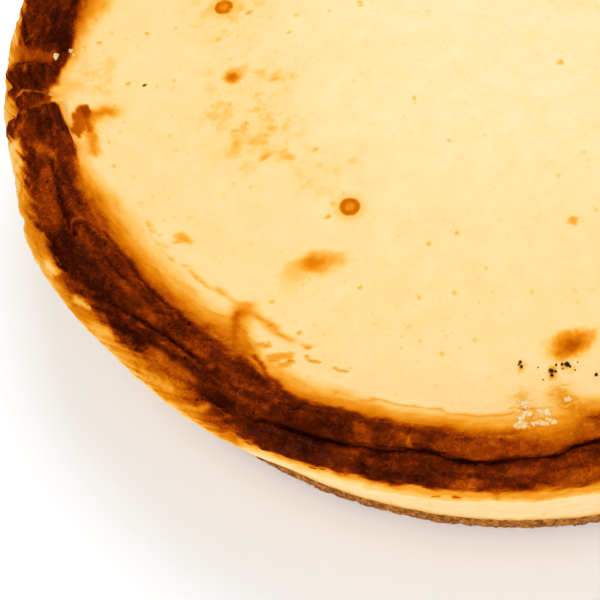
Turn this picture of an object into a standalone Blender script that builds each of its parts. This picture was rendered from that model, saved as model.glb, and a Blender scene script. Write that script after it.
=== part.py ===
"""A whole baked cheesecake, uncut and out of its tin, in metres with +Z up.

A flat crumbly biscuit base carries the custard. The tin held the custard's side.
Above the tin's edge the custard rose, swelled outwards into a lip and browned,
and the rim that it left stands in folds round a flat top that sank as it cooled.
The origin is the centre of the underside.
"""

import math
import random
from collections import namedtuple

import bmesh
import bpy
from mathutils import Vector

# Driving sizes in metres
TIN_RADIUS = 0.1200
BISCUIT_THICKNESS = 0.0060
LAYER_GAP = 0.0003
TIN_EDGE_HEIGHT = 0.0270
LIP_RADIUS = 0.1293
LIP_HEIGHT = 0.0400
CREST_RADIUS = 0.1205
CREST_HEIGHT = 0.0483
TOP_RADIUS = 0.0880
TOP_HEIGHT = 0.0400
CENTRE_HEIGHT = 0.0394

# How finely the solids are faceted
SEGMENTS = 160
RINGS_PER_SPAN = (1, 1, 2, 2, 2, 2, 2, 2, 3, 3, 2, 2, 1, 1)
TOP_RINGS = (0.72, 0.42, 0.16)
BISCUIT_RINGS = (0.0, 0.22, 0.52, 0.80, 1.0)

# How far a fold's line wanders in and out, and how often on its way
FOLD_WANDER = 0.0006
FOLD_BENDS = 2.5

# Ridge along a fold: its height as a share of the fold's depth, and its place and width in the fold's
# half widths. The same for the stretch of skin that leans out over the fold.
RIDGE_HEIGHT = 0.5
RIDGE_PLACE = 2.2
RIDGE_WIDTH = 1.3
LEAN_PLACE = 1.1
LEAN_WIDTH = 0.9

# How a crease, a fold and a shelf fade out at their ends
CREASE_FADE = 0.006
FOLD_FADE = 0.3
SHELF_FADE = 0.5

# Distance over which a shelf drops to the top
SHELF_FALL = 0.0022

# Share of a feature's half turn past which it has faded out, and the half widths past which a bell has
OUT_OF_TURN = 1.4
OUT_OF_BELL = 3.0

# Crumbly edge of the biscuit: how far it stands in and out, and how far it leans out at its top
CRUMB = 0.0005
BISCUIT_DRAFT = 0.0002
BISCUIT_SEED = 3

# Slow waves round the cake: how many, how high, and where the first one peaks in degrees
LIP_WAVES = ((1, 0.0009, 170), (2, 0.0004, 170), (11, 0.00010, 31))
CREST_WAVES = ((3, 0.00045, 250), (5, 0.00030, 180), (9, 0.00024, 8), (14, 0.00018, 17))
TOP_WAVES = ((2, 0.00020, 140), (3, 0.00016, 20), (5, 0.00012, 64))

# Where the lip swelled out less: azimuth and half width in degrees, and how far it stays back.
# Where it swelled out more the last number is negative.
LIP_DENTS = (
    (180, 5, 0.0004),
    (193, 6, -0.0006),
    (208, 7, 0.0009),
    (263, 12, 0.0022),
    (331, 10, 0.0010),
    (40, 13, 0.0012),
    (98, 9, 0.0008),
)

# A knot of the cake's section: its radius and height, and the shares of the lip's and the crest's waves
# that it takes
Knot = namedtuple("Knot", "radius height sway lift")

# A crease runs across the rim and parts two swellings of it. azimuth is where it meets the lip, lean is
# how much further round it is at the crest. It runs over the skin between two distances from the lip.
Crease = namedtuple("Crease", "azimuth lean depth half_width outer inner")

# A fold runs along the rim. Its inner side is a ridge that hangs over its outer side.
Fold = namedtuple("Fold", "start end first last depth half_width overhang")

# A shelf is a stretch where the browned skin stays level and then drops steeply to the top
Shelf = namedtuple("Shelf", "start end edge drop")

# A lump is a soft swelling, or a hollow where its height is negative
Lump = namedtuple("Lump", "azimuth distance height round_size over_size")

SHELVES = (
    Shelf(148.0, 166.0, 0.0215, 0.0016),
    Shelf(166.5, 171.5, 0.0165, 0.0012),
    Shelf(174.0, 187.0, 0.0205, 0.0017),
)
CREASES = (
    Crease(164.6, 2.6, 0.0022, 0.0019, -0.008, 0.017),
    Crease(168.6, 3.2, 0.0020, 0.0014, -0.007, 0.020),
    Crease(174.2, 0.4, 0.0012, 0.0012, 0.003, 0.018),
    Crease(187.3, 3.0, 0.0008, 0.0015, -0.006, 0.006),
    Crease(224.0, 1.2, 0.0013, 0.0014, 0.001, 0.010),
)
FOLDS = (
    Fold(233.0, 268.0, 0.0108, 0.0148, 0.0012, 0.0013, 0.0010),
    Fold(225.0, 233.0, 0.0105, 0.0110, 0.0010, 0.0013, 0.0007),
    Fold(205.0, 217.0, 0.0145, 0.0130, 0.0007, 0.0013, 0.0005),
    Fold(193.0, 204.0, 0.0150, 0.0180, 0.0007, 0.0012, 0.0005),
    Fold(197.0, 209.0, 0.0215, 0.0205, 0.0005, 0.0012, 0.0003),
    Fold(180.0, 193.0, 0.0165, 0.0150, 0.0007, 0.0013, 0.0004),
    Fold(172.5, 178.0, 0.0085, 0.0065, 0.0011, 0.0012, 0.0004),
    Fold(187.0, 194.5, 0.0045, 0.0030, 0.0007, 0.0010, 0.0005),
)
LUMPS = (
    Lump(156.0, 0.013, 0.0009, 0.011, 0.007),
    Lump(169.0, 0.006, 0.0012, 0.006, 0.007),
    Lump(172.6, 0.011, 0.0007, 0.003, 0.005),
    Lump(173.0, 0.001, 0.0008, 0.005, 0.004),
    Lump(180.0, 0.014, 0.0009, 0.010, 0.006),
    Lump(192.0, 0.0145, -0.0014, 0.0022, 0.0018),
    Lump(217.0, 0.027, 0.0007, 0.0040, 0.0060),
    Lump(229.0, 0.010, -0.0007, 0.008, 0.004),
)

# Rim past the photographed part: where it begins and ends in degrees, and what stands there
UNSEEN_START = 268.0
UNSEEN_END = 506.0
UNSEEN_SEED = 24
UNSEEN_CREASES = 17
UNSEEN_FOLDS = 15
UNSEEN_SHELVES = 5

# Small swellings all round the rim
RIPPLE_SEED = 7
RIPPLES = 190
RIPPLE_HEIGHT = 0.0006


def clear_scene():
    """Removes what the scene holds."""
    for item in list(bpy.data.objects):
        bpy.data.objects.remove(item)


def section():
    """The turned section from the custard's foot, over the lip and the crest, to the edge of the flat top."""
    return (
        Knot(TIN_RADIUS + 0.0002, BISCUIT_THICKNESS + LAYER_GAP, 0.0, 0.0),
        Knot(TIN_RADIUS + 0.0009, TIN_EDGE_HEIGHT * 0.60, 0.1, 0.0),
        Knot(TIN_RADIUS + 0.0019, TIN_EDGE_HEIGHT, 0.3, 0.1),
        Knot(TIN_RADIUS + 0.0042, TIN_EDGE_HEIGHT + 0.0052, 0.6, 0.3),
        Knot(LIP_RADIUS - 0.0013, LIP_HEIGHT - 0.0040, 0.9, 0.6),
        Knot(LIP_RADIUS, LIP_HEIGHT, 1.0, 0.8),
        Knot(LIP_RADIUS - 0.0011, LIP_HEIGHT + 0.0040, 1.0, 0.9),
        Knot(LIP_RADIUS - 0.0040, CREST_HEIGHT - 0.0015, 1.0, 1.0),
        Knot(CREST_RADIUS, CREST_HEIGHT, 0.8, 1.0),
        Knot(CREST_RADIUS - 0.0039, CREST_HEIGHT - 0.0006, 0.6, 1.0),
        Knot(CREST_RADIUS - 0.0088, CREST_HEIGHT - 0.0027, 0.4, 0.7),
        Knot(CREST_RADIUS - 0.0138, TOP_HEIGHT + 0.0030, 0.3, 0.4),
        Knot(CREST_RADIUS - 0.0188, TOP_HEIGHT + 0.0014, 0.2, 0.2),
        Knot(CREST_RADIUS - 0.0248, TOP_HEIGHT + 0.0005, 0.1, 0.1),
        Knot(TOP_RADIUS, TOP_HEIGHT, 0.0, 0.0),
    )


SECTION = section()
LIP_KNOT = 5
CREST_KNOT = 8


def knot_distances():
    """Distance of each knot over the skin from the lip: negative down the side, positive over the crest."""
    distances = [0.0]
    for here, after in zip(SECTION, SECTION[1:]):
        step = math.hypot(after.radius - here.radius, after.height - here.height)
        distances.append(distances[-1] + step)
    return [distance - distances[LIP_KNOT] for distance in distances]


DISTANCES = knot_distances()


def wave(azimuth, waves):
    """Sum of slow waves at an azimuth in degrees."""
    return sum(
        height * math.cos(math.radians(count * (azimuth - peak)))
        for count, height, peak in waves
    )


def lip_sway(azimuth):
    """How far the lip stands out past its mean radius at an azimuth."""
    dents = sum(
        depth * bell(turn_between(azimuth, centre) / half_width)
        for centre, half_width, depth in LIP_DENTS
    )
    return wave(azimuth, LIP_WAVES) - dents


def turn_between(azimuth, other):
    """Shortest turn from other to azimuth in degrees, between -180 and 180."""
    return (azimuth - other + 180.0) % 360.0 - 180.0


def smooth(value):
    """Eased step from 0 to 1."""
    value = min(max(value, 0.0), 1.0)
    return value * value * (3.0 - 2.0 * value)


def window(value, start, end, soft):
    """1 between start and end, easing to 0 over soft on both sides."""
    return smooth((value - start) / soft + 0.5) * smooth((end - value) / soft + 0.5)


def bell(value):
    """Bell curve of height 1 and half width 1."""
    return math.exp(-value * value)


def unseen_features():
    """Creases, folds and shelves for the rim that the photographed side continues into."""
    draw = random.Random(UNSEEN_SEED)
    span = UNSEEN_END - UNSEEN_START
    creases = [
        Crease(
            UNSEEN_START + span * (index + draw.uniform(0.15, 0.85)) / UNSEEN_CREASES,
            draw.uniform(-3.0, 3.0),
            draw.uniform(0.0008, 0.0022),
            draw.uniform(0.0012, 0.0022),
            draw.uniform(-0.009, 0.001),
            draw.uniform(0.012, 0.020),
        )
        for index in range(UNSEEN_CREASES)
    ]
    folds = []
    for index in range(UNSEEN_FOLDS):
        start = UNSEEN_START + span * (index + draw.uniform(0.0, 0.3)) / UNSEEN_FOLDS
        first = draw.uniform(0.010, 0.019)
        folds.append(
            Fold(
                start,
                start + draw.uniform(8.0, 17.0),
                first,
                first + draw.uniform(-0.003, 0.003),
                draw.uniform(0.0006, 0.0012),
                draw.uniform(0.0011, 0.0014),
                draw.uniform(0.0003, 0.0009),
            )
        )
    shelves = []
    for index in range(UNSEEN_SHELVES):
        start = UNSEEN_START + span * (index + draw.uniform(0.2, 0.6)) / UNSEEN_SHELVES
        shelves.append(
            Shelf(
                start,
                start + draw.uniform(9.0, 18.0),
                draw.uniform(0.018, 0.0215),
                draw.uniform(0.0010, 0.0017),
            )
        )
    return creases, folds, shelves


def ripples():
    """Small swellings and hollows scattered over the rim."""
    draw = random.Random(RIPPLE_SEED)
    return [
        Lump(
            draw.uniform(0.0, 360.0),
            draw.uniform(-0.006, 0.024),
            draw.uniform(-1.0, 1.0) * RIPPLE_HEIGHT,
            draw.uniform(0.0030, 0.0075),
            draw.uniform(0.0022, 0.0042),
        )
        for _ in range(RIPPLES)
    ]


UNSEEN = unseen_features()
ALL_CREASES = CREASES + tuple(UNSEEN[0])
ALL_FOLDS = FOLDS + tuple(UNSEEN[1])
ALL_SHELVES = SHELVES + tuple(UNSEEN[2])
ALL_LUMPS = LUMPS + tuple(ripples())


def crease_relief(azimuth, distance):
    """Depth of the creases that cross the rim."""
    relief = 0.0
    for crease in ALL_CREASES:
        centre = crease.azimuth + crease.lean * distance / DISTANCES[CREST_KNOT]
        offset = math.radians(turn_between(azimuth, centre)) * CREST_RADIUS
        if abs(offset) < OUT_OF_BELL * crease.half_width:
            along = window(distance, crease.outer, crease.inner, CREASE_FADE)
            relief -= crease.depth * along * bell(offset / crease.half_width)
    return relief


def fold_relief(azimuth, distance):
    """Height of the folds along the rim, and how far their ridges lean out over the skin."""
    relief = 0.0
    shift = 0.0
    for fold in ALL_FOLDS:
        middle = 0.5 * (fold.start + fold.end)
        turn = turn_between(azimuth, middle) / (0.5 * (fold.end - fold.start))
        if abs(turn) < OUT_OF_TURN:
            share = 0.5 * (turn + 1.0)
            wander = FOLD_WANDER * math.sin(math.tau * (FOLD_BENDS * share + 0.1 * fold.start))
            centre = fold.first + share * (fold.last - fold.first) + wander
            across = (distance - centre) / fold.half_width
            strength = window(share, 0.0, 1.0, FOLD_FADE)
            ridge = RIDGE_HEIGHT * bell((across - RIDGE_PLACE) / RIDGE_WIDTH)
            relief += strength * fold.depth * (ridge - bell(across))
            shift += strength * fold.overhang * bell((across - LEAN_PLACE) / LEAN_WIDTH)
    return relief, shift


def shelf_relief(azimuth, distance):
    """Height of the level shelves, which end in a steep drop to the top."""
    relief = 0.0
    for shelf in ALL_SHELVES:
        middle = 0.5 * (shelf.start + shelf.end)
        turn = turn_between(azimuth, middle) / (0.5 * (shelf.end - shelf.start))
        if abs(turn) < OUT_OF_TURN:
            strength = window(turn, -1.0, 1.0, SHELF_FADE)
            rise = smooth(2.0 * distance / shelf.edge - 1.0)
            fall = smooth((shelf.edge - distance) / SHELF_FALL + 0.5)
            relief += strength * shelf.drop * rise * fall
    return relief


def lump_relief(azimuth, distance):
    """Height of the lumps and of the small swellings."""
    relief = 0.0
    for lump in ALL_LUMPS:
        over = (distance - lump.distance) / lump.over_size
        if abs(over) < OUT_OF_BELL:
            round_offset = math.radians(turn_between(azimuth, lump.azimuth)) * CREST_RADIUS
            relief += lump.height * bell(over) * bell(round_offset / lump.round_size)
    return relief


def section_at(azimuth, distance):
    """Radius, height and outward direction of the smooth section at an azimuth and a distance."""
    sway = lip_sway(azimuth)
    lift = wave(azimuth, CREST_WAVES)
    points = [
        Vector((knot.radius + sway * knot.sway, knot.height + lift * knot.lift))
        for knot in SECTION
    ]
    last = len(SECTION) - 1
    span = 0
    while span < last - 1 and distance > DISTANCES[span + 1]:
        span += 1
    length = DISTANCES[span + 1] - DISTANCES[span]
    share = min(max((distance - DISTANCES[span]) / length, 0.0), 1.0)
    start, end = points[span], points[span + 1]
    leave = slope(points, span) * length
    arrive = slope(points, span + 1) * length
    point = (
        start * (2 * share**3 - 3 * share**2 + 1)
        + leave * (share**3 - 2 * share**2 + share)
        + end * (3 * share**2 - 2 * share**3)
        + arrive * (share**3 - share**2)
    )
    along = (
        (start - end) * (6 * share**2 - 6 * share)
        + leave * (3 * share**2 - 4 * share + 1)
        + arrive * (3 * share**2 - 2 * share)
    ).normalized()
    return point, Vector((along.y, -along.x))


def slope(points, index):
    """Direction of the smooth section at a knot, per metre of skin."""
    before = max(index - 1, 0)
    after = min(index + 1, len(points) - 1)
    return (points[after] - points[before]) / (DISTANCES[after] - DISTANCES[before])


def skin_point(azimuth, distance):
    """Point of the custard's skin at an azimuth in degrees and a distance from the lip."""
    folded, shift = fold_relief(azimuth, distance)
    relief = (
        folded
        + crease_relief(azimuth, distance)
        + shelf_relief(azimuth, distance)
        + lump_relief(azimuth, distance)
    )
    point, outward = section_at(azimuth, distance - shift)
    radius = point.x + outward.x * relief
    height = point.y + outward.y * relief
    return polar(azimuth, radius, height)


def top_point(azimuth, share):
    """Point of the flat top at a share of its radius."""
    height = CENTRE_HEIGHT + (TOP_HEIGHT - CENTRE_HEIGHT) * share * share
    swell = wave(azimuth, TOP_WAVES) * 4.0 * share * (1.0 - share)
    return polar(azimuth, TOP_RADIUS * share, height + swell)


def polar(azimuth, radius, height):
    """Point at an azimuth in degrees, a radius and a height."""
    angle = math.radians(azimuth)
    return Vector((radius * math.cos(angle), radius * math.sin(angle), height))


def azimuths():
    """Azimuth of each segment, with the nearest one moved onto each crease."""
    step = 360.0 / SEGMENTS
    values = [index * step for index in range(SEGMENTS)]
    for crease in ALL_CREASES:
        target = (crease.azimuth + 0.5 * crease.lean) % 360.0
        nearest = round(target / step) % SEGMENTS
        values[nearest] += turn_between(target, values[nearest])
    return values


def ring_distances():
    """Distances from the lip at which the skin has a ring of vertices."""
    distances = []
    for (start, end), count in zip(zip(DISTANCES, DISTANCES[1:]), RINGS_PER_SPAN):
        distances += [start + (end - start) * step / count for step in range(count)]
    return distances + [DISTANCES[-1]]


def add_ring(mesh, points):
    """Adds a ring of vertices."""
    return [mesh.verts.new(point) for point in points]


def join_rings(mesh, lower, upper):
    """Joins two rings by a band of faces that point outwards."""
    count = len(lower)
    for index in range(count):
        after = (index + 1) % count
        mesh.faces.new((lower[index], lower[after], upper[after], upper[index]))


def close_ring(mesh, ring, centre, upwards):
    """Closes a ring by a fan of triangles round a centre."""
    middle = mesh.verts.new(centre)
    count = len(ring)
    for index in range(count):
        pair = [ring[index], ring[(index + 1) % count]]
        if not upwards:
            pair.reverse()
        mesh.faces.new((pair[0], pair[1], middle))


def finish(mesh, name, material):
    """Makes a smooth-shaded object from a finished mesh."""
    bmesh.ops.triangulate(mesh, faces=mesh.faces[:], quad_method="SHORT_EDGE")
    data = bpy.data.meshes.new(name)
    mesh.to_mesh(data)
    mesh.free()
    data.materials.append(material)
    data.shade_smooth()
    item = bpy.data.objects.new(name, data)
    bpy.context.scene.collection.objects.link(item)
    return item


def make_material(name, colour, roughness, coat):
    """A Principled material with an even finish."""
    material = bpy.data.materials.new(name)
    material.use_nodes = True
    shader = material.node_tree.nodes["Principled BSDF"]
    shader.inputs["Base Color"].default_value = (*colour, 1.0)
    shader.inputs["Roughness"].default_value = roughness
    shader.inputs["Metallic"].default_value = 0.0
    shader.inputs["Coat Weight"].default_value = coat
    material.diffuse_color = (*colour, 1.0)
    return material


def build_biscuit_base():
    """The biscuit layer: a flat disc with a crumbly edge."""
    draw = random.Random(BISCUIT_SEED)
    mesh = bmesh.new()
    rings = []
    for share in BISCUIT_RINGS:
        radius = TIN_RADIUS + BISCUIT_DRAFT * share
        rings.append(
            add_ring(
                mesh,
                [
                    polar(
                        360.0 * index / SEGMENTS,
                        radius + CRUMB * draw.uniform(-0.6, 1.0),
                        BISCUIT_THICKNESS * share,
                    )
                    for index in range(SEGMENTS)
                ],
            )
        )
    for lower, upper in zip(rings, rings[1:]):
        join_rings(mesh, lower, upper)
    close_ring(mesh, rings[0], (0.0, 0.0, 0.0), upwards=False)
    close_ring(mesh, rings[-1], (0.0, 0.0, BISCUIT_THICKNESS), upwards=True)
    biscuit = make_material("biscuit", (0.42, 0.20, 0.085), 0.85, 0.0)
    return finish(mesh, "biscuit_base", biscuit)


def build_custard():
    """The baked custard with its browned rim."""
    mesh = bmesh.new()
    turns = azimuths()
    rings = [
        add_ring(mesh, [skin_point(azimuth, distance) for azimuth in turns])
        for distance in ring_distances()
    ]
    rings += [
        add_ring(mesh, [top_point(azimuth, share) for azimuth in turns])
        for share in TOP_RINGS
    ]
    for lower, upper in zip(rings, rings[1:]):
        join_rings(mesh, lower, upper)
    foot_centre = (0.0, 0.0, BISCUIT_THICKNESS + LAYER_GAP)
    close_ring(mesh, rings[0], foot_centre, upwards=False)
    close_ring(mesh, rings[-1], (0.0, 0.0, CENTRE_HEIGHT), upwards=True)
    custard = make_material("baked_custard", (0.90, 0.66, 0.30), 0.45, 0.15)
    return finish(mesh, "cheesecake_body", custard)


def main():
    """Builds the cake."""
    clear_scene()
    build_biscuit_base()
    build_custard()


main()
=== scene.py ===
"""Looks of a whole baked cheesecake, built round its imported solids, in metres with +Z up.

The biscuit, the custard and the browned rim are skins that are rolled round the cake's section and
then shaped by the folds, creases and swellings that the oven left. Crumbs lie on them as small meshes.
An azimuth is in degrees round the cake. A distance is measured over the skin from the lip: negative
down the side, positive over the crest to the flat top.
"""

import logging
import math
import random
from dataclasses import dataclass, field
from enum import Enum
from typing import Any, Sequence

import bpy
import numpy as np
from mathutils import Matrix, Vector

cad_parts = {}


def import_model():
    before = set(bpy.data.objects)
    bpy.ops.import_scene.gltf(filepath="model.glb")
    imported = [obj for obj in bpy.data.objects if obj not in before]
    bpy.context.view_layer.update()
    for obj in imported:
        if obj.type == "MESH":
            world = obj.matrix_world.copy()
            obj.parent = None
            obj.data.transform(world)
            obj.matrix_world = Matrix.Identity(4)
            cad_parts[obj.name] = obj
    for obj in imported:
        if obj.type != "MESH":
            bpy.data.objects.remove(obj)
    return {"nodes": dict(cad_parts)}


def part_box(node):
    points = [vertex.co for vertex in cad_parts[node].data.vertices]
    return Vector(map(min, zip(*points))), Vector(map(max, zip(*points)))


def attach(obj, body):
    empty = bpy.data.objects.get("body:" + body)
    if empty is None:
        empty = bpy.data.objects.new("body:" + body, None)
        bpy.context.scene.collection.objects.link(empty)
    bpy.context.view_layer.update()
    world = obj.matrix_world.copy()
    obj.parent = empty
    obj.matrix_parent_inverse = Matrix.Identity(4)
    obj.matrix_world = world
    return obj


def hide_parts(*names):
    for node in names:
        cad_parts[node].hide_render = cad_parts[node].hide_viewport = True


Array = np.ndarray
Pair = tuple[float, float]
Stops = tuple[tuple[float, tuple[float, ...]], ...]
MM = 0.001
log = logging.getLogger("cheesecake")


def bell(value: Array) -> Array:
    """Bell curve of height 1 and half width 1."""
    return np.exp(-value * value)


def eased(value: Array) -> Array:
    """Eased step from 0 to 1."""
    value = np.clip(value, 0.0, 1.0)
    return value * value * (3.0 - 2.0 * value)


def window(value: Array, start: Array | float, end: Array | float, soft: Array | float) -> Array:
    """1 between start and end, easing to 0 over soft on both sides."""
    return eased((value - start) / soft + 0.5) * eased((end - value) / soft + 0.5)


def turn_between(azimuth: Array, other: float) -> Array:
    """Shortest turn from other to azimuth in degrees, between -180 and 180."""
    return (azimuth - other + 180.0) % 360.0 - 180.0


def rows_of(kind: type, *rows: tuple) -> tuple:
    """One object of a kind for each row, which gives its values in the order of its fields."""
    return tuple(kind(*row) for row in rows)


class GradientNoise:
    """Smooth noise in space, about -1 to 1, the same for the same seed."""

    CELLS = 256

    def __init__(self, seed: int) -> None:
        """Draws the noise's directions.

        Args:
            seed: Number that the noise depends on.
        """
        draw = np.random.default_rng(seed)
        self.order = np.tile(draw.permutation(self.CELLS), 2)
        directions = draw.normal(size=(self.CELLS, 3))
        self.directions = directions / np.linalg.norm(directions, axis=1)[:, None]

    def __call__(self, places: Array) -> Array:
        """Noise at each place.

        Args:
            places: Points, one a row, in units of one swelling of the noise.

        Returns:
            One value for each point.
        """
        cell = np.floor(places).astype(int)
        share = places - cell
        cell %= self.CELLS
        blend = share**3 * (share * (share * 6.0 - 15.0) + 10.0)
        total = np.zeros(len(places))
        for corner in np.ndindex(2, 2, 2):
            index = self.order[cell[:, 0] + corner[0]]
            index = self.order[index + cell[:, 1] + corner[1]]
            index = self.order[index + cell[:, 2] + corner[2]]
            step = np.array(corner)
            weight = np.prod(np.where(step, blend, 1.0 - blend), axis=1)
            total += weight * np.sum(self.directions[index] * (share - step), axis=1)
        return total * 1.7

    def layered(self, places: Array, layers: int) -> Array:
        """Noise with finer noise on it, each layer half as wide and half as strong."""
        return sum(self(places * 2**layer) / 2**layer for layer in range(layers))


@dataclass(frozen=True)
class Knot:
    """A knot of the cake's section, with its shares of the lip's sway and of the crest's waves."""

    radius: float
    height: float
    sway: float
    lift: float


@dataclass(frozen=True)
class Crease:
    """A crease across the rim, which parts two swellings of it."""

    azimuth: float
    lean: float
    depth: float
    half_width: float
    outer: float
    inner: float


@dataclass(frozen=True)
class Fold:
    """A fold along the rim's path, whose inner side hangs over its outer side."""

    path: tuple[Pair, ...]
    depth: float
    half_width: float
    overhang: float


@dataclass(frozen=True)
class Shelf:
    """A stretch where the browned skin stays level and then drops steeply to the top."""

    start: float
    end: float
    edge: float
    drop: float


@dataclass(frozen=True)
class Lump:
    """A soft swelling, or a hollow where its height is negative."""

    azimuth: float
    distance: float
    height: float
    round_size: float
    over_size: float


@dataclass(frozen=True)
class Stroke:
    """A line or a patch with a brownness of its own, which may lie deeper than what is round it. Some
    paint shade, and some highlights, by folds and creases.

    Its path is in degrees and millimetres, its half width, depth and roughness in millimetres. share is
    how much of the skin's own brownness it covers, and a crisp one has a clear edge.
    """

    path: tuple[Pair, ...]
    half_width: float
    tone: float
    share: float = 0.8
    depth: float = 0.0
    gloss: float = 0.0
    rough: float = 0.0
    crisp: bool = False


@dataclass(frozen=True)
class Station:
    """How the oven browned the rim at one azimuth. Distances and fades are in millimetres.

    From outside in, the skin is pale, then golden just outside outer, then brown as far as inner, and
    from there on it fades to the pale top, starting from the brownness tail.
    """

    azimuth: float
    outer: float
    outer_fade: float
    gold: float
    level: float
    crest: float
    inner: float
    tail: float
    fade: float


@dataclass(frozen=True)
class CakeShape:
    """Form of the cake: its section, and what stands out from it and into it."""

    tin_radius: float = 0.1200
    biscuit_thickness: float = 0.0060
    layer_gap: float = 0.0003
    tin_edge_height: float = 0.0270
    lip_radius: float = 0.1293
    lip_height: float = 0.0400
    crest_radius: float = 0.1205
    crest_height: float = 0.0483
    top_radius: float = 0.0880
    top_height: float = 0.0400
    centre_height: float = 0.0394
    lip_knot: int = 5
    crest_knot: int = 8
    lip_waves: tuple = ((1, 0.0009, 170), (2, 0.0004, 170), (11, 0.00010, 31))
    crest_waves: tuple = ((3, 0.00045, 250), (5, 0.00030, 180), (9, 0.00024, 8), (14, 0.00018, 17))
    top_waves: tuple = ((2, 0.00020, 140), (3, 0.00016, 20), (5, 0.00012, 64))
    lip_dents: tuple = (
        (180, 5, 0.0004),
        (193, 6, -0.0006),
        (208, 7, 0.0009),
        (263, 12, 0.0022),
        (331, 10, 0.0010),
        (40, 13, 0.0012),
        (98, 9, 0.0008),
        (159, 8, 0.0006),
        (171, 8, 0.0013),
        (183, 4, 0.0006),
    )
    unseen_start: float = 268.0
    unseen_end: float = 506.0
    unseen_seed: int = 24
    ripple_seed: int = 7
    ripples: int = 190
    ripple_height: float = 0.0006
    knots: tuple[Knot, ...] = field(init=False)
    distances: Array = field(init=False)
    creases: tuple[Crease, ...] = field(init=False)
    folds: tuple[Fold, ...] = field(init=False)
    shelves: tuple[Shelf, ...] = field(init=False)
    lumps: tuple[Lump, ...] = field(init=False)

    def __post_init__(self) -> None:
        """Works out the section and gathers the features."""
        creases, folds, shelves = self.unseen_features()
        knots = self.section_knots()
        steps = [
            math.hypot(after.radius - here.radius, after.height - here.height)
            for here, after in zip(knots, knots[1:])
        ]
        distances = np.concatenate(([0.0], np.cumsum(steps)))
        object.__setattr__(self, "knots", knots)
        object.__setattr__(self, "distances", distances - distances[self.lip_knot])
        object.__setattr__(self, "creases", self.seen_creases() + creases)
        object.__setattr__(self, "folds", self.seen_folds() + folds)
        object.__setattr__(self, "shelves", self.seen_shelves() + shelves)
        object.__setattr__(self, "lumps", self.seen_lumps() + self.small_swellings())

    def section_knots(self) -> tuple[Knot, ...]:
        """The turned section from the custard's foot over the lip and the crest to the flat top."""
        tin, edge = self.tin_radius, self.tin_edge_height
        lip, high = self.lip_radius, self.lip_height
        crest, peak = self.crest_radius, self.crest_height
        return rows_of(
            Knot,
            (tin + 0.0002, self.biscuit_thickness + self.layer_gap, 0, 0),
            (tin + 0.0009, edge * 0.60, 0.1, 0),
            (tin + 0.0019, edge, 0.3, 0.1),
            (tin + 0.0042, edge + 0.0052, 0.6, 0.3),
            (lip - 0.0013, high - 0.0040, 0.9, 0.6),
            (lip, high, 1, 0.8),
            (lip - 0.0011, high + 0.0040, 1, 0.9),
            (lip - 0.0040, peak - 0.0015, 1, 1),
            (crest, peak, 0.8, 1),
            (crest - 0.0039, peak - 0.0006, 0.6, 1),
            (crest - 0.0088, peak - 0.0027, 0.4, 0.7),
            (crest - 0.0138, self.top_height + 0.0030, 0.3, 0.4),
            (crest - 0.0188, self.top_height + 0.0014, 0.2, 0.2),
            (crest - 0.0248, self.top_height + 0.0005, 0.1, 0.1),
            (self.top_radius, self.top_height, 0, 0),
        )

    @staticmethod
    def seen_creases() -> tuple[Crease, ...]:
        """Creases of the photographed side."""
        return rows_of(
            Crease,
            (164.6, 2.6, 0.0016, 0.0019, 0.005, 0.017),
            (168.6, 3.2, 0.0016, 0.0014, 0.004, 0.020),
            (174.2, 0.4, 0.0012, 0.0012, 0.003, 0.018),
            (187.3, 3, 0.0008, 0.0015, -0.006, 0.006),
            (224, 1.2, 0.0013, 0.0014, 0.001, 0.010),
        )

    @staticmethod
    def seen_folds() -> tuple[Fold, ...]:
        """Folds of the photographed side."""
        main = (
            *((227.5, 0.0098), (231.4, 0.0104), (237, 0.0110), (240, 0.0113), (243.4, 0.0121)),
            *((245.6, 0.0107), (247.7, 0.0099), (250, 0.0101), (252, 0.0109), (255, 0.0106)),
            *((256.8, 0.0120), (259, 0.0127), (263, 0.0130), (268, 0.0120)),
        )
        return rows_of(
            Fold,
            (main, 0.0018, 0.0013, 0.0012),
            (((219.5, 0.0085), (223, 0.0075), (226.5, 0.0090)), 0.0010, 0.0011, 0.0007),
            (((190, 0.0092), (194, 0.0090), (197.5, 0.0080)), 0.0010, 0.0010, 0.0004),
            (((203.5, 0.0112), (208.5, 0.0128), (213.5, 0.0147), (219, 0.0150)), 0.0008, 0.0011, 0.0006),
            (((193, 0.0150), (198, 0.0160), (204, 0.0180)), 0.0007, 0.0011, 0.0005),
            (((197, 0.0212), (204, 0.0207), (209, 0.0200)), 0.0005, 0.0011, 0.0003),
            (((180, 0.0165), (187, 0.0158), (193, 0.0150)), 0.0007, 0.0012, 0.0004),
            (((172.5, 0.0085), (175, 0.0080), (178, 0.0065)), 0.0009, 0.0011, 0.0004),
        )

    @staticmethod
    def seen_shelves() -> tuple[Shelf, ...]:
        """Shelves of the photographed side."""
        return rows_of(
            Shelf,
            (148, 166, 0.0232, 0.0016),
            (166.5, 171.5, 0.0195, 0.0012),
            (174, 187, 0.0215, 0.0017),
        )

    @staticmethod
    def seen_lumps() -> tuple[Lump, ...]:
        """Swellings and hollows of the photographed side."""
        return rows_of(
            Lump,
            (156, 0.013, 0.0009, 0.011, 0.007),
            (169, 0.006, 0.0012, 0.006, 0.007),
            (172.6, 0.011, 0.0007, 0.003, 0.005),
            (173, 0.001, 0.0008, 0.005, 0.004),
            (180, 0.014, 0.0009, 0.010, 0.006),
            (192, 0.0145, -0.0014, 0.0022, 0.0018),
            (217, 0.027, 0.0007, 0.0040, 0.0060),
            (229, 0.010, -0.0007, 0.008, 0.004),
        )

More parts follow.
